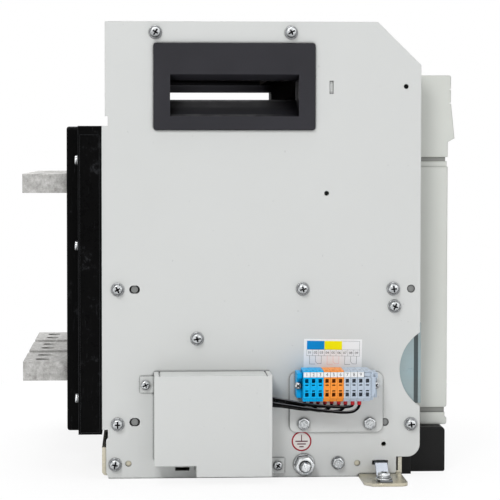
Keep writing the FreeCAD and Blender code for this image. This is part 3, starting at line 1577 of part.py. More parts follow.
def make_charging_lever(face):
    """The charging lever swings forward and down about its foot."""
    body = new_body("charging_lever")
    x = size("lever_x")
    half = size("lever_width") / 2
    foot = size("lever_low")
    top = size("lever_top")
    pivot = face + 5
    profile = [
        (pivot - 7, foot + 2), (pivot - 9.5, foot + 30), (pivot - 9.5, top - 14),
        (pivot - 6, top), (pivot - 2, top), (pivot - 3.5, top - 14),
        (pivot + 5, foot + 10), (pivot + 5, foot - 5), (pivot + 3, foot - 7),
        (pivot - 3, foot - 7), (pivot - 6, foot - 4),
    ]
    slab(body, "YZ", x - half, x + half, profile)
    bore = disc(pivot, foot, size("lever_radius") + 0.05)
    cut(body, "YZ", x - half, x + half, bore)
    panel = doc.getObject("control_panel")
    cheek = box(face + 3, face + 12, foot - 11, foot + 11)
    slab(panel, "YZ", x - half - 8, x - half - 6, cheek)
    axle = disc(pivot, foot, size("lever_radius"))
    slab(panel, "YZ", x - half - 6, size("window_half") - 3.4, axle)


def build():
    for name, side in SIDES:
        make_side_plate(name, side)
        make_rail(name, side)
    make_rail_guides()
    make_handles()
    make_base_pan()
    make_feet()
    make_foot_straps()
    make_tie_bars()
    make_rear_housing()
    make_terminal_carrier()
    make_terminals()
    make_jaw_fingers()
    make_shutters()
    make_racking_housing()
    make_racking_parts()
    make_wiring_box()
    make_position_switches()
    make_terminal_blocks()
    make_strip_ends()
    make_terminal_plate()
    make_leads()
    make_earth_point()
    make_side_screws()
    make_chassis()
    make_support_pins()
    make_pole_case()
    make_arc_chutes()
    make_blades()
    make_mechanism()
    make_plug_blocks()
    make_front_cover()
    make_control_panel()


def sub_parts():
    kinds = ("PartDesign::Body", "Part::Feature")
    return [thing for thing in doc.Objects if thing.TypeId in kinds]


def check_document():
    doc.recompute()
    for thing in doc.Objects:
        if "Invalid" in thing.State or "Error" in thing.State:
            raise RuntimeError(f"{thing.Label} did not build: {thing.State}")
    for part in sub_parts():
        if part.Shape.isNull() or not part.Shape.isValid() or not part.Shape.Solids:
            raise RuntimeError(f"{part.Label} has no valid shape")


def write_parts():
    os.makedirs("parts", exist_ok=True)
    for part in sub_parts():
        part.Shape.exportStep(os.path.join("parts", part.Label + ".step"))
    print(len(sub_parts()), "sub-parts")


build()
check_document()
write_parts()
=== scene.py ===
import math
import random

import bmesh
import bpy
from mathutils import Matrix, Vector


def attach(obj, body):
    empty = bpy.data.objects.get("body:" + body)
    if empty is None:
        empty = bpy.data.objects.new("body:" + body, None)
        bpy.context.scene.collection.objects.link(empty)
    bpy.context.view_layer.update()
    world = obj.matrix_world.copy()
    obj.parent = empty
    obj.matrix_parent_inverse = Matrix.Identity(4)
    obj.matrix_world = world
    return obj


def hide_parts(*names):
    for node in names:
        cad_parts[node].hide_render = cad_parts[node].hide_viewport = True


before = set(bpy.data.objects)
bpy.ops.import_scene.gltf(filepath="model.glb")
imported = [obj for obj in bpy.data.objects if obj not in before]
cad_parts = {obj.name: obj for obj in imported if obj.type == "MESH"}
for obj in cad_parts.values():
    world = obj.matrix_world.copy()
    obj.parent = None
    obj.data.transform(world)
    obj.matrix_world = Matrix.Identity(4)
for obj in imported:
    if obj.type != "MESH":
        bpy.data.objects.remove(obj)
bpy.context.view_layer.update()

MM = 0.001
SEGMENTS = 48


# Camera, at the photograph's place on the left of the cradle

CAMERA_PLACE = Vector((-1.301, 0.0778, 0.2526))
CAMERA_AIM = Vector((-0.135, 0.03178, 0.21449))
CAMERA_LENS = 109.666
CAMERA_SHIFT = (0.1, -0.1)


def make_camera():
    data = bpy.data.cameras.new("camera")
    data.lens = CAMERA_LENS
    data.sensor_width = 36
    data.shift_x, data.shift_y = CAMERA_SHIFT
    camera = bpy.data.objects.new("camera", data)
    camera.location = CAMERA_PLACE
    camera.rotation_euler = (CAMERA_AIM - CAMERA_PLACE).to_track_quat("-Z", "Y").to_euler()
    bpy.context.scene.collection.objects.link(camera)
    bpy.context.scene.camera = camera


# Materials


class Nodes:
    """A material's node tree, with short calls for the nodes used here."""

    def __init__(self, name):
        self.material = bpy.data.materials.new(name)
        self.material.use_nodes = True
        self.tree = self.material.node_tree
        self.shader = self.tree.nodes["Principled BSDF"]
        coordinates = self.tree.nodes.new("ShaderNodeTexCoord")
        self.place = coordinates.outputs["Object"]
        self.sheen = 0.5

    def link(self, source, target):
        self.tree.links.new(source, target)

    def noise(self, scale, detail=3.0, rough=0.55, stretch=None):
        node = self.tree.nodes.new("ShaderNodeTexNoise")
        node.inputs["Scale"].default_value = scale
        node.inputs["Detail"].default_value = detail
        node.inputs["Roughness"].default_value = rough
        source = self.place
        if stretch:
            mapping = self.tree.nodes.new("ShaderNodeMapping")
            mapping.inputs["Scale"].default_value = stretch
            self.link(self.place, mapping.inputs["Vector"])
            source = mapping.outputs["Vector"]
        self.link(source, node.inputs["Vector"])
        return node.outputs["Fac"]

    def ramp(self, source, stops):
        node = self.tree.nodes.new("ShaderNodeValToRGB")
        ramp = node.color_ramp
        while len(ramp.elements) < len(stops):
            ramp.elements.new(0.5)
        for element, (position, colour) in zip(ramp.elements, stops):
            element.position = position
            element.color = (*colour, 1)
        self.link(source, node.inputs["Fac"])
        return node.outputs["Color"]

    def grey_ramp(self, source, low, high, start=0.35, stop=0.65):
        return self.ramp(source, [(start, (low,) * 3), (stop, (high,) * 3)])

    def bump(self, height, strength, distance, rounding=0.0):
        node = self.tree.nodes.new("ShaderNodeBump")
        node.inputs["Strength"].default_value = strength
        node.inputs["Distance"].default_value = distance
        self.link(height, node.inputs["Height"])
        if rounding:
            edge = self.tree.nodes.new("ShaderNodeBevel")
            edge.samples = 4
            edge.inputs["Radius"].default_value = rounding
            self.link(edge.outputs["Normal"], node.inputs["Normal"])
        self.link(node.outputs["Normal"], self.shader.inputs["Normal"])

    def painted_crease_shade(self, colour, reach, darkest, start=0.3, stop=0.85):
        """Painted shade where the shape closes in on itself: the colour and the specular level
        are turned down there.
        """
        corner = self.tree.nodes.new("ShaderNodeAmbientOcclusion")
        corner.samples = 6
        corner.inputs["Distance"].default_value = reach
        sheen = self.grey_ramp(corner.outputs["AO"], 0.0, self.sheen, start, stop)
        self.link(sheen, self.shader.inputs["Specular IOR Level"])
        shadow = self.grey_ramp(corner.outputs["AO"], darkest, 1.0, start, stop)
        return self.multiply(colour, shadow)

    def painted_slant_light(self, colour, direction, stops):
        """Painted reflections and highlights: the colour turned lighter or darker by the
        surface's slant towards a direction, as if it mirrored a bright side and a dark side of
        the studio.
        """
        surface = self.tree.nodes.new("ShaderNodeNewGeometry")
        slant = self.tree.nodes.new("ShaderNodeVectorMath")
        slant.operation = "DOT_PRODUCT"
        self.link(surface.outputs["Normal"], slant.inputs[0])
        slant.inputs[1].default_value = direction
        spread = self.tree.nodes.new("ShaderNodeMapRange")
        spread.inputs["From Min"].default_value = -1.0
        self.link(slant.outputs["Value"], spread.inputs["Value"])
        shades = [(place, (tone,) * 3) for place, tone in stops]
        return self.multiply(colour, self.ramp(spread.outputs["Result"], shades))

    def painted_edge_highlight(self, colour, reach, tone):
        """Painted highlight: outer edges made paler, as if they caught the light."""
        edge = self.tree.nodes.new("ShaderNodeAmbientOcclusion")
        edge.samples = 6
        edge.inside = True
        edge.only_local = True
        edge.inputs["Distance"].default_value = reach
        edge_lit = self.ramp(edge.outputs["AO"], [(0.45, tone), (0.75, tone)])
        share = self.grey_ramp(edge.outputs["AO"], 1.0, 0.0, 0.45, 0.75)
        return self.mix(share, colour, edge_lit)

    def multiply(self, first, second):
        node = self.tree.nodes.new("ShaderNodeMix")
        node.data_type = "RGBA"
        node.blend_type = "MULTIPLY"
        node.inputs["Factor"].default_value = 1.0
        self.link(first, node.inputs["A"])
        self.link(second, node.inputs["B"])
        return node.outputs["Result"]

    def mix(self, factor, first, second):
        node = self.tree.nodes.new("ShaderNodeMix")
        node.data_type = "RGBA"
        self.link(factor, node.inputs["Factor"])
        self.link(first, node.inputs["A"])
        self.link(second, node.inputs["B"])
        return node.outputs["Result"]


def shade(name, colour, rough=(0.4, 0.55), grain=900, grain_depth=0.00003, blotch=12,
          variation=0.04, rounding=0.0004, specular=0.5, strength=0.4, crease_shade=None, painted_edge_highlight=None,
          specks=0.0, slant=None):
    """A surface with slight colour drift, uneven gloss, fine grain and eased edges; optionally
    small nicks, colour lighter or darker by slant as painted light, painted highlights on outer
    edges and painted shade in creases and corners.
    """
    nodes = Nodes(name)
    shader = nodes.shader
    dark = tuple(c * (1 - variation) for c in colour)
    light = tuple(min(1.0, c * (1 + variation)) for c in colour)
    drift = nodes.noise(blotch, 4.0)
    colour = nodes.ramp(drift, [(0.3, dark), (0.7, light)])
    nodes.sheen = specular
    if specks:
        nicks = nodes.ramp(nodes.noise(260, 2.0), [(0.735, (0.0,) * 3), (0.76, (1.0,) * 3)])
        chipped = tuple(c * (1 - specks) for c in dark)
        tone = nodes.ramp(drift, [(0.3, chipped), (0.7, chipped)])
        colour = nodes.mix(nicks, colour, tone)
    if slant:
        colour = nodes.painted_slant_light(colour, *slant)
    if painted_edge_highlight:
        colour = nodes.painted_edge_highlight(colour, *painted_edge_highlight)
    if crease_shade:
        colour = nodes.painted_crease_shade(colour, *crease_shade)
    nodes.link(colour, shader.inputs["Base Color"])
    gloss = nodes.noise(blotch * 4, 5.0)
    nodes.link(nodes.grey_ramp(gloss, rough[0], rough[1]), shader.inputs["Roughness"])
    shader.inputs["Specular IOR Level"].default_value = specular
    nodes.bump(nodes.noise(grain, 2.0), strength, grain_depth, rounding)
    return nodes.material


def zinc_material(name, colour, warmth, brushed=False,
                  crease_shade=(0.003, 0.04, 0.4, 0.98), slant=None):
    """Plated steel: fine crystalline mottling, faint streaks and a drift of tint, with painted
    shade in its creases and corners and, when a slant is given, painted reflections by slant.
    """
    nodes = Nodes(name)
    shader = nodes.shader
    mottling = nodes.noise(260, 6.0, 0.7, (1.0, 0.06, 1.0) if brushed else None)
    tint = nodes.noise(30, 3.0)
    cool = tuple(c * 0.8 for c in colour)
    warm = tuple(c * w for c, w in zip(colour, warmth))
    base = nodes.ramp(mottling, [(0.3, cool), (0.7, colour)])
    wash = nodes.ramp(tint, [(0.35, colour), (0.65, warm)])
    mixed = nodes.mix(nodes.grey_ramp(tint, 0.2, 0.7), base, wash)
    if slant:
        mixed = nodes.painted_slant_light(mixed, *slant)
    nodes.link(nodes.painted_crease_shade(mixed, *crease_shade), shader.inputs["Base Color"])
    shader.inputs["Metallic"].default_value = 0.85
    nodes.link(nodes.grey_ramp(mottling, 0.24, 0.46), shader.inputs["Roughness"])
    grain = nodes.noise(700, 4.0, 0.55, (1.0, 0.04, 1.0) if brushed else None)
    nodes.bump(grain, 0.25, 0.00004, 0.0003)
    return nodes.material


def screw_zinc(name, dark=0.40, middle=0.66, facing=0.72):
    """Bright plating on small fasteners: pale and dark flecks, painted reflections by slant, and
    black painted shade in joints and recesses.
    """
    nodes = Nodes(name)
    shader = nodes.shader
    flecks = nodes.noise(1100, 3.0, 0.6)
    plating = nodes.ramp(flecks, [(0.36, (dark, dark + 0.02, dark + 0.03)),
                                  (0.5, (middle, middle + 0.02, middle + 0.03)),
                                  (0.66, (0.94, 0.96, 0.98))])
    painted_reflection_stops = [(0.1, 0.12), (0.35, 0.3), (0.5, facing), (0.62, 1.0), (0.8, 0.6), (1.0, 0.8)]
    colour = nodes.painted_slant_light(plating, (0.0, 0.35, 0.94), painted_reflection_stops)
    nodes.link(nodes.painted_crease_shade(colour, 0.003, 0.02, 0.42, 0.9), shader.inputs["Base Color"])
    shader.inputs["Metallic"].default_value = 0.8
    nodes.link(nodes.grey_ramp(flecks, 0.32, 0.16), shader.inputs["Roughness"])
    nodes.bump(nodes.noise(900, 3.0), 0.3, 0.00005, 0.0002)
    return nodes.material


def scuffed_black(name):
    """Dark glossy moulding with faint scuffed patches, fine scratches and painted highlights on
    its outer edges.
    """
    nodes = Nodes(name)
    shader = nodes.shader
    dust = nodes.noise(70, 8.0, 0.75)
    streaks = nodes.noise(220, 5.0, 0.7, (1.0, 3.0, 0.35))
    patches = nodes.ramp(dust, [(0.58, (0.0,) * 3), (0.74, (0.8,) * 3)])
    lines = nodes.ramp(streaks, [(0.60, (0.0,) * 3), (0.74, (0.5,) * 3)])
    black = nodes.ramp(dust, [(0.0, (0.001, 0.001, 0.0011)), (1.0, (0.002, 0.002, 0.0021))])
    grey = nodes.ramp(dust, [(0.0, (0.015, 0.015, 0.016)), (1.0, (0.05, 0.052, 0.056))])
    first = nodes.mix(patches, black, grey)
    # A painted highlight: the outer edges are painted paler.
    edge_lit = nodes.painted_edge_highlight(nodes.mix(lines, first, grey), 0.0008, (0.045, 0.047, 0.05))
    nodes.link(edge_lit, shader.inputs["Base Color"])
    nodes.link(nodes.grey_ramp(dust, 0.2, 0.5), shader.inputs["Roughness"])
    shader.inputs["Specular IOR Level"].default_value = 0.04
    nodes.bump(nodes.noise(340, 3.0), 0.35, 0.00005, 0.0006)
    return nodes.material


def tinned_bar(name):
    """Tin-plated copper: dull, cast-looking, with darker stains and fine pits."""
    nodes = Nodes(name)
    shader = nodes.shader
    stains = nodes.noise(210, 8.0, 0.78)
    pits = nodes.noise(900, 5.0, 0.75)
    colour = nodes.ramp(stains, [(0.34, (0.30, 0.29, 0.28)), (0.5, (0.45, 0.445, 0.43)),
                                 (0.66, (0.62, 0.61, 0.60))])
    # Painted shade where the bars and their neighbours close in.
    nodes.link(nodes.painted_crease_shade(colour, 0.006, 0.35), shader.inputs["Base Color"])
    shader.inputs["Metallic"].default_value = 0.55
    nodes.link(nodes.grey_ramp(stains, 0.62, 0.38), shader.inputs["Roughness"])
    nodes.bump(pits, 0.8, 0.0002, 0.0007)
    return nodes.material


def flat_print(name, colour):
    """Ink or paper: nearly even, with the faintest fibre."""
    return shade(name, colour, (0.45, 0.55), grain=1500, grain_depth=0.00001,
                 variation=0.02, rounding=0.0, specular=0.12, strength=0.15)


# Painted light by slant: a direction, then the tone at each slant towards it, from 0 (away) to 1
# (facing it)
RAIL_PAINTED_REFLECTION = ((0.0, -1.0, 0.0),
              [(0.38, 0.7), (0.5, 1.0), (0.62, 0.45), (0.8, 0.25), (1.0, 0.7)])
STRAP_PAINTED_REFLECTION = ((0.0, 0.0, 1.0), [(0.2, 0.3), (0.5, 0.75), (0.7, 1.0), (1.0, 0.7)])
WIRE_PAINTED_HIGHLIGHT = ((0.0, 0.0, 1.0),
              [(0.0, 0.005), (0.74, 0.01), (0.81, 1.0), (0.87, 1.0), (0.93, 0.03)])
# Name, colour, drift and gloss
TERMINAL_COLOURS = [
    ("blue", (0.0, 0.43, 0.86), 0.05, 0.12),
    ("orange", (0.95, 0.31, 0.045), 0.05, 0.15),
    ("grey", (0.49, 0.565, 0.66), 0.04, 0.3),
]
PRINT_COLOURS = {
    "ink": ("print_black", (0.012, 0.012, 0.014)),
    "grey_ink": ("print_grey", (0.08, 0.08, 0.085)),
    "pale_ink": ("print_pale", (0.62, 0.63, 0.64)),
    "paper": ("label_paper", (0.86, 0.86, 0.86)),
    "label_blue": ("label_blue", (0.0, 0.245, 0.61)),
    "label_yellow": ("label_yellow", (0.92, 0.83, 0.0)),
    "pink": ("label_line_pink", (0.80, 0.42, 0.40)),
    "cream": ("symbol_cream", (0.74, 0.71, 0.68)),
    "symbol_red": ("symbol_red", (0.34, 0.008, 0.025)),
    "symbol_dark": ("symbol_dark", (0.10, 0.012, 0.03)),
}


def make_materials():
    table = {}
    # Most surfaces here get painted shade in their creases and corners. The mouldings get
    # painted highlights on their outer edges, and the zinc and the wires get painted reflections
    # and highlights by slant.
    table["paint"] = shade(
        "plate_paint", (0.640, 0.650, 0.638), (0.42, 0.52), grain=1300, grain_depth=0.00004,
        blotch=5, variation=0.012, rounding=0.0007, crease_shade=(0.0026, 0.12, 0.42, 0.8),
        specks=0.12,
    )
    table["cover"] = shade(
        "cover_moulding", (0.64, 0.655, 0.615), (0.46, 0.58), grain=1600, grain_depth=0.00004,
        blotch=7, variation=0.02, rounding=0.002, crease_shade=(0.004, 0.35),
    )
    # The cover's frame sits in a groove: it is the cover's moulding darkened as painted shade.
    table["cover_in_shade"] = shade(
        "cover_moulding_painted_shade", (0.27, 0.275, 0.255), (0.5, 0.6), grain=1600, rounding=0.0,
        crease_shade=(0.004, 0.3),
    )
    table["charcoal"] = shade(
        "charcoal_moulding", (0.022, 0.0215, 0.0265), (0.46, 0.6), grain=2400,
        grain_depth=0.00006, blotch=24, variation=0.16, rounding=0.0006, specular=0.22,
        crease_shade=(0.06, 0.02, 0.3, 0.98), painted_edge_highlight=(0.0007, (0.055, 0.055, 0.062)),
    )
    table["racking"] = shade(
        "racking_moulding", (0.006, 0.006, 0.006), (0.3, 0.42), grain=1800,
        grain_depth=0.00003, blotch=20, variation=0.15, rounding=0.0012, specular=0.16,
        painted_edge_highlight=(0.0007, (0.03, 0.03, 0.032)),
    )
    table["case"] = shade(
        "case_moulding", (0.012, 0.0105, 0.010), (0.45, 0.6), grain=1200, grain_depth=0.00006,
        variation=0.12, rounding=0.0008, specular=0.0, crease_shade=(0.05, 0.03, 0.3, 1.0),
    )
    # The rails and the straps get painted reflections by slant.
    table["rail"] = zinc_material("rail_zinc", (0.30, 0.365, 0.375), (0.90, 1.0, 1.05), True,
                                  slant=RAIL_PAINTED_REFLECTION)
    # Darker, duller zinc for the guides, bars and inner works; part of the darkness is painted
    # shade of the cradle's inside.
    table["zinc"] = zinc_material("zinc_plate", (0.24, 0.245, 0.24), (0.97, 1.0, 1.03), True)
    table["strap"] = zinc_material("strap_zinc", (0.50, 0.53, 0.59), (0.96, 1.0, 1.0), True,
                                   slant=STRAP_PAINTED_REFLECTION)
    table["screw"] = screw_zinc("screw_zinc")
    table["bolt"] = screw_zinc("bolt_zinc", 0.48, 0.84, 0.95)
    table["yellow_zinc"] = zinc_material("yellow_zinc", (0.60, 0.575, 0.49), (1.04, 0.98, 0.84),
                                        crease_shade=(0.002, 0.4))
    table["black"] = scuffed_black("base_moulding")
    table["tin"] = tinned_bar("tinned_bar")
    for name, colour, variation, specular in TERMINAL_COLOURS:
        table[name] = shade(
            "terminal_" + name, colour, (0.3, 0.42), variation=variation, rounding=0.0003,
            specular=specular, crease_shade=(0.0025, 0.15),
        )
    table["white"] = shade("tag_white", (0.84, 0.85, 0.86), (0.4, 0.5), variation=0.02,
                           rounding=0.0002)
    table["red"] = shade("sleeve_red", (0.56, 0.012, 0.02), (0.35, 0.5), variation=0.1,
                         rounding=0.0002, specular=0.3)
    table["green"] = shade("button_green", (0.02, 0.28, 0.08), (0.3, 0.4), rounding=0.0006)
    # Mostly black, with a painted highlight along the top of each wire by slant.
    table["wire"] = shade("wire_black", (0.24, 0.24, 0.25), (0.14, 0.2), grain=700,
                          variation=0.3, rounding=0.0, specular=0.05, slant=WIRE_PAINTED_HIGHLIGHT)
    for key, (name, colour) in PRINT_COLOURS.items():
        table[key] = flat_print(name, colour)
    table["glass"] = shade("display_glass", (0.20, 0.26, 0.19), (0.12, 0.2), variation=0.05,
                           rounding=0.0, specular=0.3, strength=0.05)
    table["dial"] = shade("dial_grey", (0.33, 0.34, 0.35), (0.4, 0.5), rounding=0.0002)
    table["key"] = shade("key_grey", (0.07, 0.07, 0.08), (0.4, 0.5), rounding=0.0002,
                         specular=0.25)
    # Black painted shade, for the screws' cross recesses and the small hole by the top front
    # corner.
    table["hole"] = shade("black_painted_shade", (0.004, 0.004, 0.0045), (0.6, 0.8), rounding=0.0,
                          specular=0.1)
    return table


NODE_FINISH = {
    "paint": ["side_plate_left", "side_plate_right", "wiring_cover", "terminal_plate"],
    "cover": ["cover_main", "cover_upper", "cover_skirt"],
    "cover_in_shade": ["cover_frame"],
    "charcoal": ["side_handles", "control_panel", "trip_unit", "charging_lever"],
    "racking": ["racking_housing"],
    "case": ["pole_base", "pole_case", "arc_chutes", "auxiliary_plug", "auxiliary_socket",
             "shutter_upper", "shutter_lower", "position_switches"],
    "rail": ["rail_left", "rail_right"],
    "strap": ["foot_straps"],
    "zinc": ["rail_guides", "tie_bars", "breaker_chassis", "mechanism_frame",
             "racking_carriage", "racking_spindle", "support_rollers", "main_shaft",
             "padlock_tab", "closing_spring", "crank_handle"],
    "screw": ["frame_screws", "side_screws", "strip_screws", "earth_point"],
    "yellow_zinc": ["foot_bars", "base_pan"],
    "black": ["rear_housing", "terminal_carrier"],
    "tin": ["main_terminals", "main_blades", "jaw_fingers"],
    "blue": ["terminals_blue"],
    "orange": ["terminals_orange"],
    "grey": ["terminals_grey"],
    "white": ["marker_tags", "contact_indicator", "charge_indicator", "position_indicator"],
    "red": ["wire_ferrules", "off_button", "release_button"],
    "green": ["on_button"],
    "wire": ["wire_harness"],
}


def finish_nodes(materials):
    for finish, names in NODE_FINISH.items():
        for name in names:
            mesh = bpy.data.objects[name].data
            mesh.materials.clear()
            mesh.materials.append(materials[finish])


# Mesh helpers


def add_piece(name, mesh, materials, body):
    """A new piece that rides a body and takes the materials given."""
    piece = bpy.data.objects.new(name, mesh)
    bpy.context.scene.collection.objects.link(piece)
    for material in materials:
        mesh.materials.append(material)
    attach(piece, body)
    return piece


def mesh_from(builder):
    mesh = bpy.data.meshes.new("mesh")
    builder.to_mesh(mesh)
    builder.free()
    return mesh


# Light and floor

WHITE = (1.0, 1.0, 1.0, 1.0)
SOFT_COLOUR = (0.95, 0.97, 1.0, 1.0)
SOFT_STRENGTH = 0.245
FLOOR_SIZE = 8.0
FLOOR_DROP = 0.0002
FLOOR_COLOUR = (0.93, 0.93, 0.93, 1)
FLOOR_ROUGHNESS = 0.6
# The floor shows its shadow up to the first radius and is plain white from the second
SHADOW_REACH = (0.26, 0.42)
SHADOW_GLOW = 0.88
# Name, place, aim, side and power
LAMPS = [
    ("key", (-1.7, 0.75, 1.6), (0, 0, 0.18), 0.65, 19.2),
    ("front", (-1.9, -1.1, 0.7), (0, 0, 0.18), 1.5, 6.8),
    ("top", (0.3, 0.1, 2.0), (0, 0, 0.2), 1.8, 40),
    ("far", (1.7, -0.9, 1.1), (0, 0, 0.18), 1.4, 4.5),
]


def add_lamp(name, place, aim, side, power):
    data = bpy.data.lights.new(name, "AREA")
    data.shape = "RECTANGLE"
    data.size = data.size_y = side
    data.energy = power
    lamp = bpy.data.objects.new(name, data)
    lamp.location = place
    lamp.rotation_euler = (Vector(aim) - Vector(place)).to_track_quat("-Z", "Y").to_euler()
    bpy.context.scene.collection.objects.link(lamp)


def make_world():
    world = bpy.data.worlds.new("studio")
    bpy.context.scene.world = world
    world.use_nodes = True
    tree = world.node_tree
    tree.nodes.clear()
    soft = tree.nodes.new("ShaderNodeBackground")
    soft.inputs["Color"].default_value = SOFT_COLOUR
    soft.inputs["Strength"].default_value = SOFT_STRENGTH
    white = tree.nodes.new("ShaderNodeBackground")
    white.inputs["Color"].default_value = WHITE
    path = tree.nodes.new("ShaderNodeLightPath")
    seen = tree.nodes.new("ShaderNodeMath")
    seen.operation = "MAXIMUM"
    mix = tree.nodes.new("ShaderNodeMixShader")
    output = tree.nodes.new("ShaderNodeOutputWorld")
    either = tree.nodes.new("ShaderNodeMath")
    either.operation = "MAXIMUM"
    tree.links.new(path.outputs["Is Glossy Ray"], either.inputs[0])
    tree.links.new(path.outputs["Is Transmission Ray"], either.inputs[1])
    tree.links.new(path.outputs["Is Camera Ray"], seen.inputs[0])
    tree.links.new(either.outputs[0], seen.inputs[1])
    tree.links.new(seen.outputs[0], mix.inputs["Fac"])
    tree.links.new(soft.outputs[0], mix.inputs[1])
    tree.links.new(white.outputs[0], mix.inputs[2])
    tree.links.new(mix.outputs[0], output.inputs["Surface"])


def make_floor():
    builder = bmesh.new()
    bmesh.ops.create_grid(builder, x_segments=2, y_segments=2, size=FLOOR_SIZE)
    mesh = mesh_from(builder)
    floor = bpy.data.objects.new("floor", mesh)
    bpy.context.scene.collection.objects.link(floor)
    floor.location.z = -FLOOR_DROP
    material = bpy.data.materials.new("floor_white")
    material.use_nodes = True
    tree = material.node_tree
    shader = tree.nodes["Principled BSDF"]
    shader.inputs["Base Color"].default_value = FLOOR_COLOUR
    shader.inputs["Roughness"].default_value = FLOOR_ROUGHNESS
    glow = tree.nodes.new("ShaderNodeEmission")
    glow.inputs["Color"].default_value = WHITE
    path = tree.nodes.new("ShaderNodeLightPath")
    place = tree.nodes.new("ShaderNodeTexCoord")
    reach = tree.nodes.new("ShaderNodeVectorMath")
    reach.operation = "LENGTH"
    tree.links.new(place.outputs["Object"], reach.inputs[0])
    spread = tree.nodes.new("ShaderNodeMapRange")
    spread.inputs["From Min"].default_value = SHADOW_REACH[0]
    spread.inputs["From Max"].default_value = SHADOW_REACH[1]
    spread.inputs["To Min"].default_value = SHADOW_GLOW
    tree.links.new(reach.outputs["Value"], spread.inputs["Value"])
    share = tree.nodes.new("ShaderNodeMath")
    share.operation = "MULTIPLY"
    tree.links.new(spread.outputs["Result"], share.inputs[1])
    add = tree.nodes.new("ShaderNodeMixShader")
    tree.links.new(path.outputs["Is Camera Ray"], share.inputs[0])
    tree.links.new(share.outputs[0], add.inputs["Fac"])
    tree.links.new(shader.outputs[0], add.inputs[1])
    tree.links.new(glow.outputs[0], add.inputs[2])
    tree.links.new(add.outputs[0], tree.nodes["Material Output"].inputs["Surface"])
    mesh.materials.append(material)


def make_studio():
    make_world()
    make_floor()
    for lamp in LAMPS:
        add_lamp(*lamp)


# Leads, in millimetres until they are drawn

# Y and Z of the common run, its rise per layer, and the drop of the lower row
LEAD_RUN = [(-6, 60.6, 1.0, 1.8), (-30, 57.4, 0.8, 1.2), (-53.5, 53.9, 0.5, 0.3)]
LEAD_COUNT = 9
LEAD_RADIUS = 0.00115
LEAD_BACK = -142.5
LEAD_LAYER_GAP = 2.45
LEAD_PAIR_GAP = 2.5
LEAD_DIP = 53.9
LEAD_SAG = 0.45
LEAD_TURN = 56.6
# How far before its terminal a lead leaves the common run, and where its dip lies
UPPER_LEAVES = 8
LOWER_LEAVES = 13
DIP_AHEAD = 7
FIRST_DIP_RISE = 1.9
BLOCK_START = 45.4
BLOCK_PITCH = 5.12
SLEEVE_FOOT = 59.0


def block_middle(slot):
    return -(BLOCK_START + BLOCK_PITCH * (slot + 0.5))


def lead_points(slot):
    """The route of one lead: out of the cover, a low sag, then up into its terminal."""
    layer = (slot + 1) // 2
    x = LEAD_BACK - LEAD_LAYER_GAP * layer
    end_y = block_middle(slot)
    if slot % 2:
        run = [(y, z + LEAD_PAIR_GAP + fan * layer) for y, z, fan, drop in LEAD_RUN]
        points = [place for place in run if place[0] > end_y + UPPER_LEAVES]
    else:
        run = [(y, z - drop + fan * layer) for y, z, fan, drop in LEAD_RUN]
        points = [place for place in run if place[0] > end_y + LOWER_LEAVES]
        dip = LEAD_DIP - LEAD_SAG * layer if slot else LEAD_DIP + FIRST_DIP_RISE
        points.append((end_y + DIP_AHEAD, dip))
    points += [(end_y, LEAD_TURN), (end_y, SLEEVE_FOOT)]
    return [Vector((x, y, z)) * MM for y, z in points]


def make_leads(materials):
    data = bpy.data.curves.new("leads", "CURVE")
    data.dimensions = "3D"
    data.bevel_depth = LEAD_RADIUS
    data.bevel_resolution = 4
    data.resolution_u = 10
    data.use_fill_caps = True
    for slot in range(LEAD_COUNT):
        spline = data.splines.new("NURBS")
        route = lead_points(slot)
        spline.points.add(len(route) - 1)
        for target, place in zip(spline.points, route):
            target.co = (*place, 1)
        spline.order_u = 3
        spline.use_endpoint_u = True
        spline.use_smooth = True
    leads = bpy.data.objects.new("leads", data)
    bpy.context.scene.collection.objects.link(leads)
    data.materials.append(materials["wire"])
    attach(leads, "cradle")
    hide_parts("wire_harness")


# Fasteners, each built along its own axis and set in place


def stand(centre, axis, turn=0.0):
    """The frame of a fastener: its seat at centre, its axis pointing outwards."""
    upright = Vector(axis).to_track_quat("Z", "Y").to_matrix().to_4x4()
    return Matrix.Translation(Vector(centre)) @ upright @ Matrix.Rotation(turn, 4, "Z")


def add_ring(builder, points):
    return [builder.verts.new(point) for point in points]


def bridge(builder, first, second):
    count = len(first)
    faces = []
    for place in range(count):
        after = (place + 1) % count
        corners = (first[place], first[after], second[after], second[place])
        faces.append(builder.faces.new(corners))
    return faces


def lathe(builder, profile, matrix, reach=None):
    """Rings of (radius, height); a third value goes to reach, which shapes the ring."""
    rings = []
    for step in profile:
        radius, height = step[:2]
        ring = []
        for number in range(SEGMENTS):
            angle = 2 * math.pi * number / SEGMENTS
            wide, high = radius, height
            if len(step) > 2:
                wide, high = reach(angle, radius, height, step[2])
            place = Vector((wide * math.cos(angle), wide * math.sin(angle), high))
            ring.append(builder.verts.new(matrix @ place))
        if rings:
            bridge(builder, rings[-1], ring)
        rings.append(ring)
    return rings


def six_sided(angle, radius, height, kind):
    """A hexagon's reach at an angle, with its corners cut by a shallow cone."""
    inner = math.pi / 6
    wide = radius / math.cos((angle % (math.pi / 3)) - inner)
    if kind == "side":
        return wide, height
    return wide, height - (wide - radius) * math.tan(math.radians(30))


def cap(builder, ring):
    return builder.faces.new(ring)


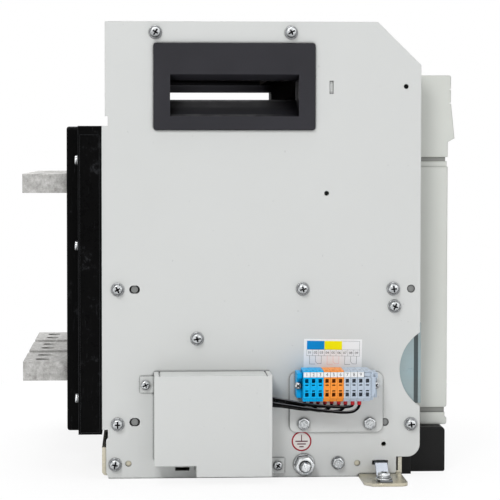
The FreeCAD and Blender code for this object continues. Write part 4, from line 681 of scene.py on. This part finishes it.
def cross_recess(builder, ring, matrix, height, arms, half, depth):
    """Close a head's top round a slotted cross and sink the cross into it."""
    corners = []
    for quarter in range(4):
        arm = arms[quarter % 2]
        turn = Matrix.Rotation(quarter * math.pi / 2, 4, "Z")
        for u, v in ((arm, -half), (arm, half), (half, half)):
            corners.append(turn @ Vector((u, v, 0)))
    lift = Vector((0, 0, height))
    sink = Vector((0, 0, height - depth))
    top = add_ring(builder, [matrix @ (corner + lift) for corner in corners])
    low = add_ring(builder, [matrix @ (corner * 0.72 + sink) for corner in corners])
    edges = []
    for loop in (ring, top):
        for place in range(len(loop)):
            pair = (loop[place], loop[(place + 1) % len(loop)])
            edges.append(builder.edges.get(pair) or builder.edges.new(pair))
    bmesh.ops.triangle_fill(builder, use_beauty=True, use_dissolve=False, edges=edges)
    for face in bridge(builder, top, low) + [cap(builder, low)]:
        # The cross takes the second material, black painted shade in the recess.
        face.material_index = 1


def add_washer(builder, matrix, radius, thick, hole=0.6, edge=0.00018):
    """A flat washer with eased rims, closed round its hole."""
    inner = radius * hole
    profile = [
        (inner, 0), (radius - edge, 0), (radius, edge), (radius, thick - edge),
        (radius - edge, thick), (inner, thick), (inner, 0),
    ]
    lathe(builder, profile, matrix)


def pan_screw(builder, matrix, washer=(0.005, 0.001), radius=0.0041, height=0.0032):
    """A flat washer, a spring washer and a raised head with a slotted cross."""
    if washer:
        add_washer(builder, matrix, washer[0], washer[1])
        matrix = matrix @ Matrix.Translation((0, 0, washer[1]))
    spring = height * 0.28
    add_washer(builder, matrix, radius * 0.97, spring)
    head = [
        (radius * 0.5, spring * 1.04), (radius * 0.88, spring * 1.04),
        (radius * 0.93, spring + height * 0.08), (radius * 0.94, height * 0.68),
        (radius * 0.90, height * 0.84), (radius * 0.82, height * 0.94),
        (radius * 0.72, height),
    ]
    rings = lathe(builder, head, matrix)
    cap(builder, rings[0])
    arms = (radius * 0.66, radius * 0.52)
    cross_recess(builder, rings[-1], matrix, height, arms, radius * 0.15, height * 0.45)


def hex_bolt(builder, matrix, radius, height, washer=None):
    """A hexagon head with cut corners and a dished top."""
    if washer:
        add_washer(builder, matrix, washer[0], washer[1])
        matrix = matrix @ Matrix.Translation((0, 0, washer[1]))
    flat = radius * math.cos(math.pi / 6)
    head = [
        (flat, 0, "side"), (flat, height * 0.97, "cone"), (flat * 0.95, height),
        (flat * 0.80, height), (flat * 0.70, height * 0.90),
    ]
    rings = lathe(builder, head, matrix, six_sided)
    cap(builder, rings[0])
    cap(builder, rings[-1])


def smooth_mesh(builder, angle=34):
    bmesh.ops.recalc_face_normals(builder, faces=builder.faces)
    mesh = mesh_from(builder)
    mesh.shade_smooth()
    mesh.set_sharp_from_angle(angle=math.radians(angle))
    return mesh


# Where the fasteners sit, as (Y, Z), and the X of the faces that carry them
SHARED_PLACES = [
    (65.9, 342.6), (-38.1, 342.6), (95, 145.8), (-47.4, 145.8), (-117.5, 145.8),
    (-118.5, 132.3), (34, 107.8), (95.1, 42), (-131.5, 40.8), (97.1, 11), (-75, 11),
]
RIGHT_PLACES = [(-48, 42), (-99.1, 42), (-48.6, 11)]
BOX_PLACES = [(73.6, 72.4), (-28.3, 9.5)]
SIDE_BOLTS = [(-75, 11)]
STRIP_BOLTS = [(-48, 42), (-99.1, 42)]
STRIP_SCREWS = [(-42.34, 73.5), (-101.8, 73.5)]
EARTH_PLACE = (-48.6, 10.2)
SIDE_FACE = -135
BOX_FACE = -136.2
STRIP_FACE = -137.5
STRIP_SCREW_FACE = -149.5
FOOT_SCREW = (161, -106.7, 3.8)
WING_SCREW = (126.5, 125.2)
WING_HEIGHTS = (245, 179, 61)


def side_seat(x, spot):
    return Vector((x, spot[0], spot[1])) * MM


def make_side_fasteners(materials, chance):
    builder = bmesh.new()
    for side, places in ((-1, SHARED_PLACES), (1, SHARED_PLACES + RIGHT_PLACES)):
        for spot in places:
            turn = chance.uniform(0, math.pi)
            seat = stand(side_seat(-SIDE_FACE * side, spot), (side, 0, 0), turn)
            if spot in SIDE_BOLTS:
                hex_bolt(builder, seat, 0.0045, 0.0031, (0.005, 0.001))
            else:
                pan_screw(builder, seat)
    for spot in BOX_PLACES:
        turn = chance.uniform(0, math.pi)
        seat = stand(side_seat(BOX_FACE, spot), (-1, 0, 0), turn)
        pan_screw(builder, seat, None, 0.0036, 0.0026)
    finish = [materials["screw"], materials["hole"]]
    heads = add_piece("side_fasteners", smooth_mesh(builder), finish, "cradle")
    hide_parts("side_screws")


def make_strip_fasteners(materials, chance):
    builder = bmesh.new()
    for spot in STRIP_BOLTS:
        turn = chance.uniform(0, math.pi)
        seat = stand(side_seat(STRIP_FACE, spot), (-1, 0, 0), turn)
        hex_bolt(builder, seat, 0.0048, 0.0034)
    for spot in STRIP_SCREWS:
        turn = chance.uniform(0.4, 1.0)
        seat = stand(side_seat(STRIP_SCREW_FACE, spot), (-1, 0, 0), turn)
        pan_screw(builder, seat, None, 0.0028, 0.0030)
    finish = [materials["screw"], materials["hole"]]
    bolts = add_piece("strip_fasteners", smooth_mesh(builder), finish, "cradle")
    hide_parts("strip_screws")


def make_frame_fasteners(materials, chance):
    builder = bmesh.new()
    for side in (-1, 1):
        x, y, z = FOOT_SCREW
        foot = Vector((x * side, y, z)) * MM
        pan_screw(builder, stand(foot, (0, 0, 1), 0.5), (0.0062, 0.0012), 0.005, 0.0038)
        for z in WING_HEIGHTS:
            wing = Vector((WING_SCREW[0] * side, WING_SCREW[1], z)) * MM
            turn = chance.uniform(0, math.pi)
            pan_screw(builder, stand(wing, (0, 1, 0), turn), None, 0.004, 0.0026)
    finish = [materials["bolt"], materials["hole"]]
    screws = add_piece("frame_fasteners", smooth_mesh(builder), finish, "cradle")
    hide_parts("frame_screws")


def make_earth_stud(materials):
    """The earth stud: washer, spring washer, hexagon nut and the bolt's rounded end."""
    builder = bmesh.new()
    seat = stand(side_seat(SIDE_FACE, EARTH_PLACE), (-1, 0, 0), 0.14)
    add_washer(builder, seat, 0.0082, 0.0016, 0.5, 0.0003)
    second = seat @ Matrix.Translation((0, 0, 0.0016))
    add_washer(builder, second, 0.0066, 0.0020, 0.6, 0.0003)
    nut = seat @ Matrix.Translation((0, 0, 0.0036))
    flat = 0.0065
    bore = 0.0041
    rings = lathe(builder, [
        (flat, 0, "side"), (flat, 0.0065, "cone"), (flat * 0.94, 0.0066),
        (bore + 0.0006, 0.0066), (bore, 0.0060),
    ], nut, six_sided)
    cap(builder, rings[0])
    cap(builder, rings[-1])
    thread = [(0.0034, 0.0058)]
    for turn in range(5):
        height = 0.0062 + 0.0010 * turn
        thread += [(0.0040, height), (0.0036, height + 0.0005)]
    thread += [(0.0036, 0.0112), (0.0030, 0.0118), (0.0012, 0.0119)]
    rings = lathe(builder, thread, nut)
    cap(builder, rings[0])
    cap(builder, rings[-1])
    stud = add_piece("earth_stud", smooth_mesh(builder), [materials["bolt"]], "cradle")
    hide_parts("earth_point")


# Prints on the left side: the number label, the tags' numbers and the earth mark


def face_frame(x, y, z, turn=0.0):
    """A drawing frame on the left side: u runs to picture right, v up, w outwards."""
    turned = Matrix.Rotation(turn, 4, "Z")
    axes = Matrix(((0, 0, -1, 0), (-1, 0, 0, 0), (0, 1, 0, 0), (0, 0, 0, 1)))
    return Matrix.Translation(Vector((x, y, z)) * MM) @ axes @ turned


def printed(name, frame_matrix, shapes, thick, material, body):
    """Thin closed patches, each given by its corners in millimetres."""
    builder = bmesh.new()
    for shape in shapes:
        low = add_ring(builder, [frame_matrix @ Vector((u * MM, v * MM, 0)) for u, v in shape])
        top = add_ring(
            builder, [frame_matrix @ Vector((u * MM, v * MM, thick * MM)) for u, v in shape]
        )
        bridge(builder, low, top)
        builder.faces.new(low)
        builder.faces.new(list(reversed(top)))
    bmesh.ops.recalc_face_normals(builder, faces=builder.faces)
    return add_piece(name, mesh_from(builder), [material], body)


def patch(left, right, low, high):
    return [(left, low), (right, low), (right, high), (left, high)]


def circle(centre, radius, count=36):
    places = [2 * math.pi * number / count for number in range(count)]
    return [(centre[0] + radius * math.cos(a), centre[1] + radius * math.sin(a)) for a in places]


def band(centre, inner, outer, count=36):
    """A flat ring as a run of small patches."""
    low, high = circle(centre, inner, count), circle(centre, outer, count)
    ring = []
    for number in range(count):
        after = (number + 1) % count
        ring.append([low[number], high[number], high[after], low[after]])
    return ring


def stroke(start, end, width):
    """A line between two points as a narrow patch."""
    along = Vector(end) - Vector(start)
    across = Vector((-along.y, along.x)).normalized() * width / 2
    along = along.normalized() * width / 2
    first, last = Vector(start) - along, Vector(end) + along
    corners = (first - across, last - across, last + across, first + across)
    return [tuple(corner) for corner in corners]


def number_mesh(text, height, thick):
    data = bpy.data.curves.new("number", "FONT")
    data.body = text
    data.size = height * MM / 0.7
    data.extrude = thick * MM / 2
    data.align_x = "CENTER"
    data.align_y = "CENTER"
    data.resolution_u = 3
    carrier = bpy.data.objects.new("number", data)
    bpy.context.scene.collection.objects.link(carrier)
    graph = bpy.context.evaluated_depsgraph_get()
    mesh = bpy.data.meshes.new_from_object(carrier.evaluated_get(graph))
    bpy.data.objects.remove(carrier)
    return mesh


def numbers(name, entries, height, thick, material, body, stretch=1.0):
    """Plain numbers, each at the frame given with it, joined into one piece."""
    builder = bmesh.new()
    for text, place in entries:
        mesh = number_mesh(text, height, thick)
        mesh.transform(place @ Matrix.Diagonal((stretch, 1, 1, 1)))
        builder.from_mesh(mesh)
        bpy.data.meshes.remove(mesh)
    bmesh.ops.recalc_face_normals(builder, faces=builder.faces)
    return add_piece(name, mesh_from(builder), [material], body)


LABEL_WIDTH = 45.2
LABEL_HEIGHT = 22.5
LABEL_THICK = 0.12
# How thick the inks are: on the label and the earth mark, and elsewhere
THIN = 0.03
FILM = 0.04


def make_label(materials):
    origin = face_frame(SIDE_FACE, -48.0, 85.0, math.radians(-1.0))
    sheet = [patch(0, LABEL_WIDTH, 0, LABEL_HEIGHT)]
    printed("label_sheet", origin, sheet, LABEL_THICK, materials["paper"], "cradle")
    ink = origin @ Matrix.Translation((0, 0, LABEL_THICK * MM))
    left, cell = 2.4, 4.54
    top, middle, low = 20.9, 14.2, 9.4
    printed("label_blue", ink, [patch(left, left + 3 * cell, middle, top)], THIN,
            materials["label_blue"], "cradle")
    printed("label_yellow", ink, [patch(left + 3 * cell, left + 6 * cell, middle, top)], THIN,
            materials["label_yellow"], "cradle")
    lines = []
    for height in (middle, low):
        lines.append(stroke((left, height), (left + 9 * cell, height), 0.16))
    for count in range(10):
        x = left + cell * count
        lines.append(stroke((x, low), (x, middle), 0.16))
    right = left + 9 * cell
    lines.append(stroke((left + 6 * cell, top), (right, top), 0.16))
    lines.append(stroke((right, middle), (right, top), 0.16))
    symbols = {0: lines, 1: [], 2: lines}
    for group in range(3):
        x = left + cell * (3 * group + 0.5)
        y = low
        foot = 2.9
        strokes = [
            ((x, y), (x, foot)), ((x, foot), (x + 4.2, foot)),
            ((x + cell, y), (x + cell, foot + 2.2)),
            ((x + cell, foot + 2.2), (x + 5.9, foot + 0.5)),
            ((x + 5.9, foot + 0.5), (x + 2 * cell, foot + 0.5)),
            ((x + 2 * cell, foot + 0.5), (x + 2 * cell, y)),
        ]
        symbols[group] += [stroke(a, b, 0.2) for a, b in strokes]
    printed("label_lines", ink, lines, THIN, materials["ink"], "cradle")
    printed("label_rose_lines", ink, symbols[1], THIN, materials["pink"], "cradle")
    entries = []
    for count in range(9):
        u = left + cell * (count + 0.5)
        place = ink @ Matrix.Translation((u * MM, (low + middle) / 2 * MM, THIN * MM))
        entries.append(("0%d" % (count + 1), place))
    numbers("label_numbers", entries, 1.9, 0.05, materials["ink"], "cradle")


TAG_FACE = -160.2
TAG_HEIGHT = 83.1


def make_tag_numbers(materials):
    entries = []
    for slot in range(LEAD_COUNT):
        place = face_frame(TAG_FACE, block_middle(slot), TAG_HEIGHT)
        entries.append((str(slot + 1), place))
    numbers("tag_numbers", entries, 2.5, FILM, materials["grey_ink"], "cradle")


SHADE_DISC_CENTRE = (-133.5, -126.9, 301.6)
SHADE_DISC_RADIUS = 1.83


def make_hole_shade_disc(materials):
    """A black disc of painted shade, sunk in the small hole by the top front corner."""
    rim = circle((0, 0), SHADE_DISC_RADIUS, SEGMENTS)
    origin = face_frame(*SHADE_DISC_CENTRE)
    printed("hole_shade_disc", origin, [rim], 0.4, materials["hole"], "cradle")


MARK_CENTRE = (-46.7, 27.9)
MARK_RADIUS = 7.7
MARK_INNER = 6.6
MARK_THICK = 0.08


def make_earth_mark(materials):
    origin = face_frame(SIDE_FACE, *MARK_CENTRE)
    field = [circle((0, 0), MARK_RADIUS, SEGMENTS)]
    printed("earth_mark_field", origin, field, MARK_THICK, materials["cream"], "cradle")
    ink = origin @ Matrix.Translation((0, 0, MARK_THICK * MM))
    ring = band((0, 0), MARK_INNER, MARK_RADIUS, SEGMENTS)
    printed("earth_mark_ring", ink, ring, THIN, materials["symbol_red"], "cradle")
    strokes = [
        stroke((0, 4.6), (0, 0.45), 0.7), stroke((-4.3, 0), (4.3, 0), 0.9),
        stroke((-2.9, -2.1), (2.9, -2.1), 0.9), stroke((-1.2, -4.2), (1.2, -4.2), 0.9),
    ]
    printed("earth_mark", ink, strokes, THIN, materials["symbol_dark"], "cradle")


# Prints on the front: display, dials, keys and the marks of the buttons

PANEL_FACE = -158.0
TRIP_FACE = -160.0
BUTTON_FACE = -161.0
RACKING_FACE = -161.7
DISPLAY = (-46, 198)
DIALS = [(-66, 141), (-27, 141), (-66, 103), (-27, 103)]
DIAL_RADIUS = 6.5
TICK_START = 8.0
TICK_END = 9.6
DIAL_NUMBER_REACH = 12.4
KEYS = [(-70, 170), (-54, 170), (-38, 170), (-22, 170)]
LIGHTS = [(-72, 218), (-66, 218), (-60, 218)]
BUTTON_COLUMN = 26
ON_HEIGHT = 150
OFF_HEIGHT = 122
INDICATOR_X = -40


def front_frame(x, y, z):
    """A drawing frame on the front: u to the right as it is seen, v up, w outwards."""
    axes = Matrix(((1, 0, 0, 0), (0, 0, -1, 0), (0, 1, 0, 0), (0, 0, 0, 1)))
    return Matrix.Translation(Vector((x, y, z)) * MM) @ axes


def outline(left, right, low, high, width):
    corners = [(left, low), (right, low), (right, high), (left, high)]
    return [stroke(corners[number - 1], corners[number], width) for number in range(4)]


def make_display(materials):
    x, z = DISPLAY
    glass = front_frame(x, PANEL_FACE, z)
    printed("display_glass", glass, [patch(-29.5, 29.5, -15.5, 15.5)], 0.5, materials["glass"],
            "breaker")
    ink = front_frame(x, PANEL_FACE - 0.5, z)
    figure = ink @ Matrix.Translation((-0.006, 0.001, 0))
    numbers("display_figure", [("1600", figure)], 11, 0.06, materials["ink"], "breaker",
            0.85)
    bars = []
    for number, tall in enumerate((15, 13, 16)):
        left = 16 + 4 * number
        bars.append(patch(left, left + 2.6, -10, -10 + tall))
    bars += outline(-28, 28, -14, 14, 0.3)
    printed("display_bars", ink, bars, 0.05, materials["ink"], "breaker")


def make_trip_prints(materials):
    face = front_frame(0, TRIP_FACE, 0)
    discs = [circle(place, DIAL_RADIUS) for place in DIALS]
    printed("dial_faces", face, discs, 0.5, materials["dial"], "breaker")
    raised = front_frame(0, TRIP_FACE - 0.5, 0)
    slots = []
    ticks = []
    entries = []
    for number, (x, z) in enumerate(DIALS):
        turn = math.radians(50 + 47 * number)
        along = Vector((math.cos(turn), math.sin(turn))) * (DIAL_RADIUS - 1.6)
        centre = Vector((x, z))
        slots.append(stroke(tuple(centre - along), tuple(centre + along), 1.5))
        for step in range(9):
            angle = math.radians(225 - 33.75 * step)
            ray = Vector((math.cos(angle), math.sin(angle)))
            start, end = centre + ray * TICK_START, centre + ray * TICK_END
            ticks.append(stroke(tuple(start), tuple(end), 0.45))
            if step % 2 == 0:
                spot = centre + ray * DIAL_NUMBER_REACH
                entries.append((str(step + 1), front_frame(spot.x, TRIP_FACE, spot.y)))
    printed("dial_slots", raised, slots, FILM, materials["ink"], "breaker")
    ticks += outline(-82, -10, 84, 160, 0.35) + outline(-82, -10, 163, 177, 0.35)
    printed("dial_ticks", face, ticks, FILM, materials["pale_ink"], "breaker")
    numbers("dial_numbers", entries, 2.6, FILM, materials["pale_ink"], "breaker")
    pads = [circle(place, 4.4) for place in KEYS]
    printed("trip_keys", face, pads, 0.3, materials["key"], "breaker")
    arrows = []
    for number, (x, z) in enumerate(KEYS):
        turn = math.pi / 2 * number
        corners = [turn + 2 * math.pi * step / 3 for step in range(3)]
        arrows.append([(x + 2 * math.cos(a), z + 2 * math.sin(a)) for a in corners])
    keys = front_frame(0, TRIP_FACE - 0.3, 0)
    printed("trip_arrows", keys, arrows, FILM, materials["pale_ink"], "breaker")
    for place, colour, slot in zip(LIGHTS, ("green", "label_yellow", "red"),
                                   ("green_plastic", "orange_plastic", "red_plastic")):
        printed("light_" + colour, face, [circle(place, 1.3, 20)], 0.4, materials[colour],
                "breaker")


def make_button_marks(materials):
    on_face = front_frame(BUTTON_COLUMN, BUTTON_FACE, ON_HEIGHT)
    printed("on_mark", on_face, [patch(-0.8, 0.8, -4.4, 4.4)], 0.05, materials["white"],
            "on_push")
    off_face = front_frame(BUTTON_COLUMN, BUTTON_FACE, OFF_HEIGHT)
    printed("off_mark", off_face, band((0, 0), 3.1, 4.6), 0.05, materials["white"],
            "off_push")
    panel = front_frame(0, PANEL_FACE, 0)
    lines = outline(-88.5, 88.5, 67.5, 230.5, 0.5)
    for height in (ON_HEIGHT, OFF_HEIGHT):
        lines += outline(BUTTON_COLUMN - 14.5, BUTTON_COLUMN + 14.5, height - 12.5,
                         height + 12.5, 0.4)
    printed("panel_lines", panel, lines, FILM, materials["pale_ink"], "breaker")


def make_racking_marks(materials):
    entries = []
    ticks = []
    for number in range(3):
        x = INDICATOR_X + 12 * (number - 1)
        entries.append((str(number + 1), front_frame(x, RACKING_FACE, 16.0)))
        ticks.append(stroke((x, 18.4), (x, 19.8), 0.5))
    numbers("racking_numbers", entries, 2.8, FILM, materials["pale_ink"], "cradle")
    face = front_frame(0, RACKING_FACE, 0)
    printed("racking_ticks", face, ticks, FILM, materials["pale_ink"], "cradle")


make_camera()
MATERIALS = make_materials()
finish_nodes(MATERIALS)
make_leads(MATERIALS)
CHANCE = random.Random(7)
make_side_fasteners(MATERIALS, CHANCE)
make_strip_fasteners(MATERIALS, CHANCE)
make_frame_fasteners(MATERIALS, CHANCE)
make_earth_stud(MATERIALS)
make_label(MATERIALS)
make_tag_numbers(MATERIALS)
make_hole_shade_disc(MATERIALS)
make_earth_mark(MATERIALS)
make_display(MATERIALS)
make_trip_prints(MATERIALS)
make_button_marks(MATERIALS)
make_racking_marks(MATERIALS)
make_studio()

view = bpy.context.scene.view_settings
view.view_transform = "Standard"
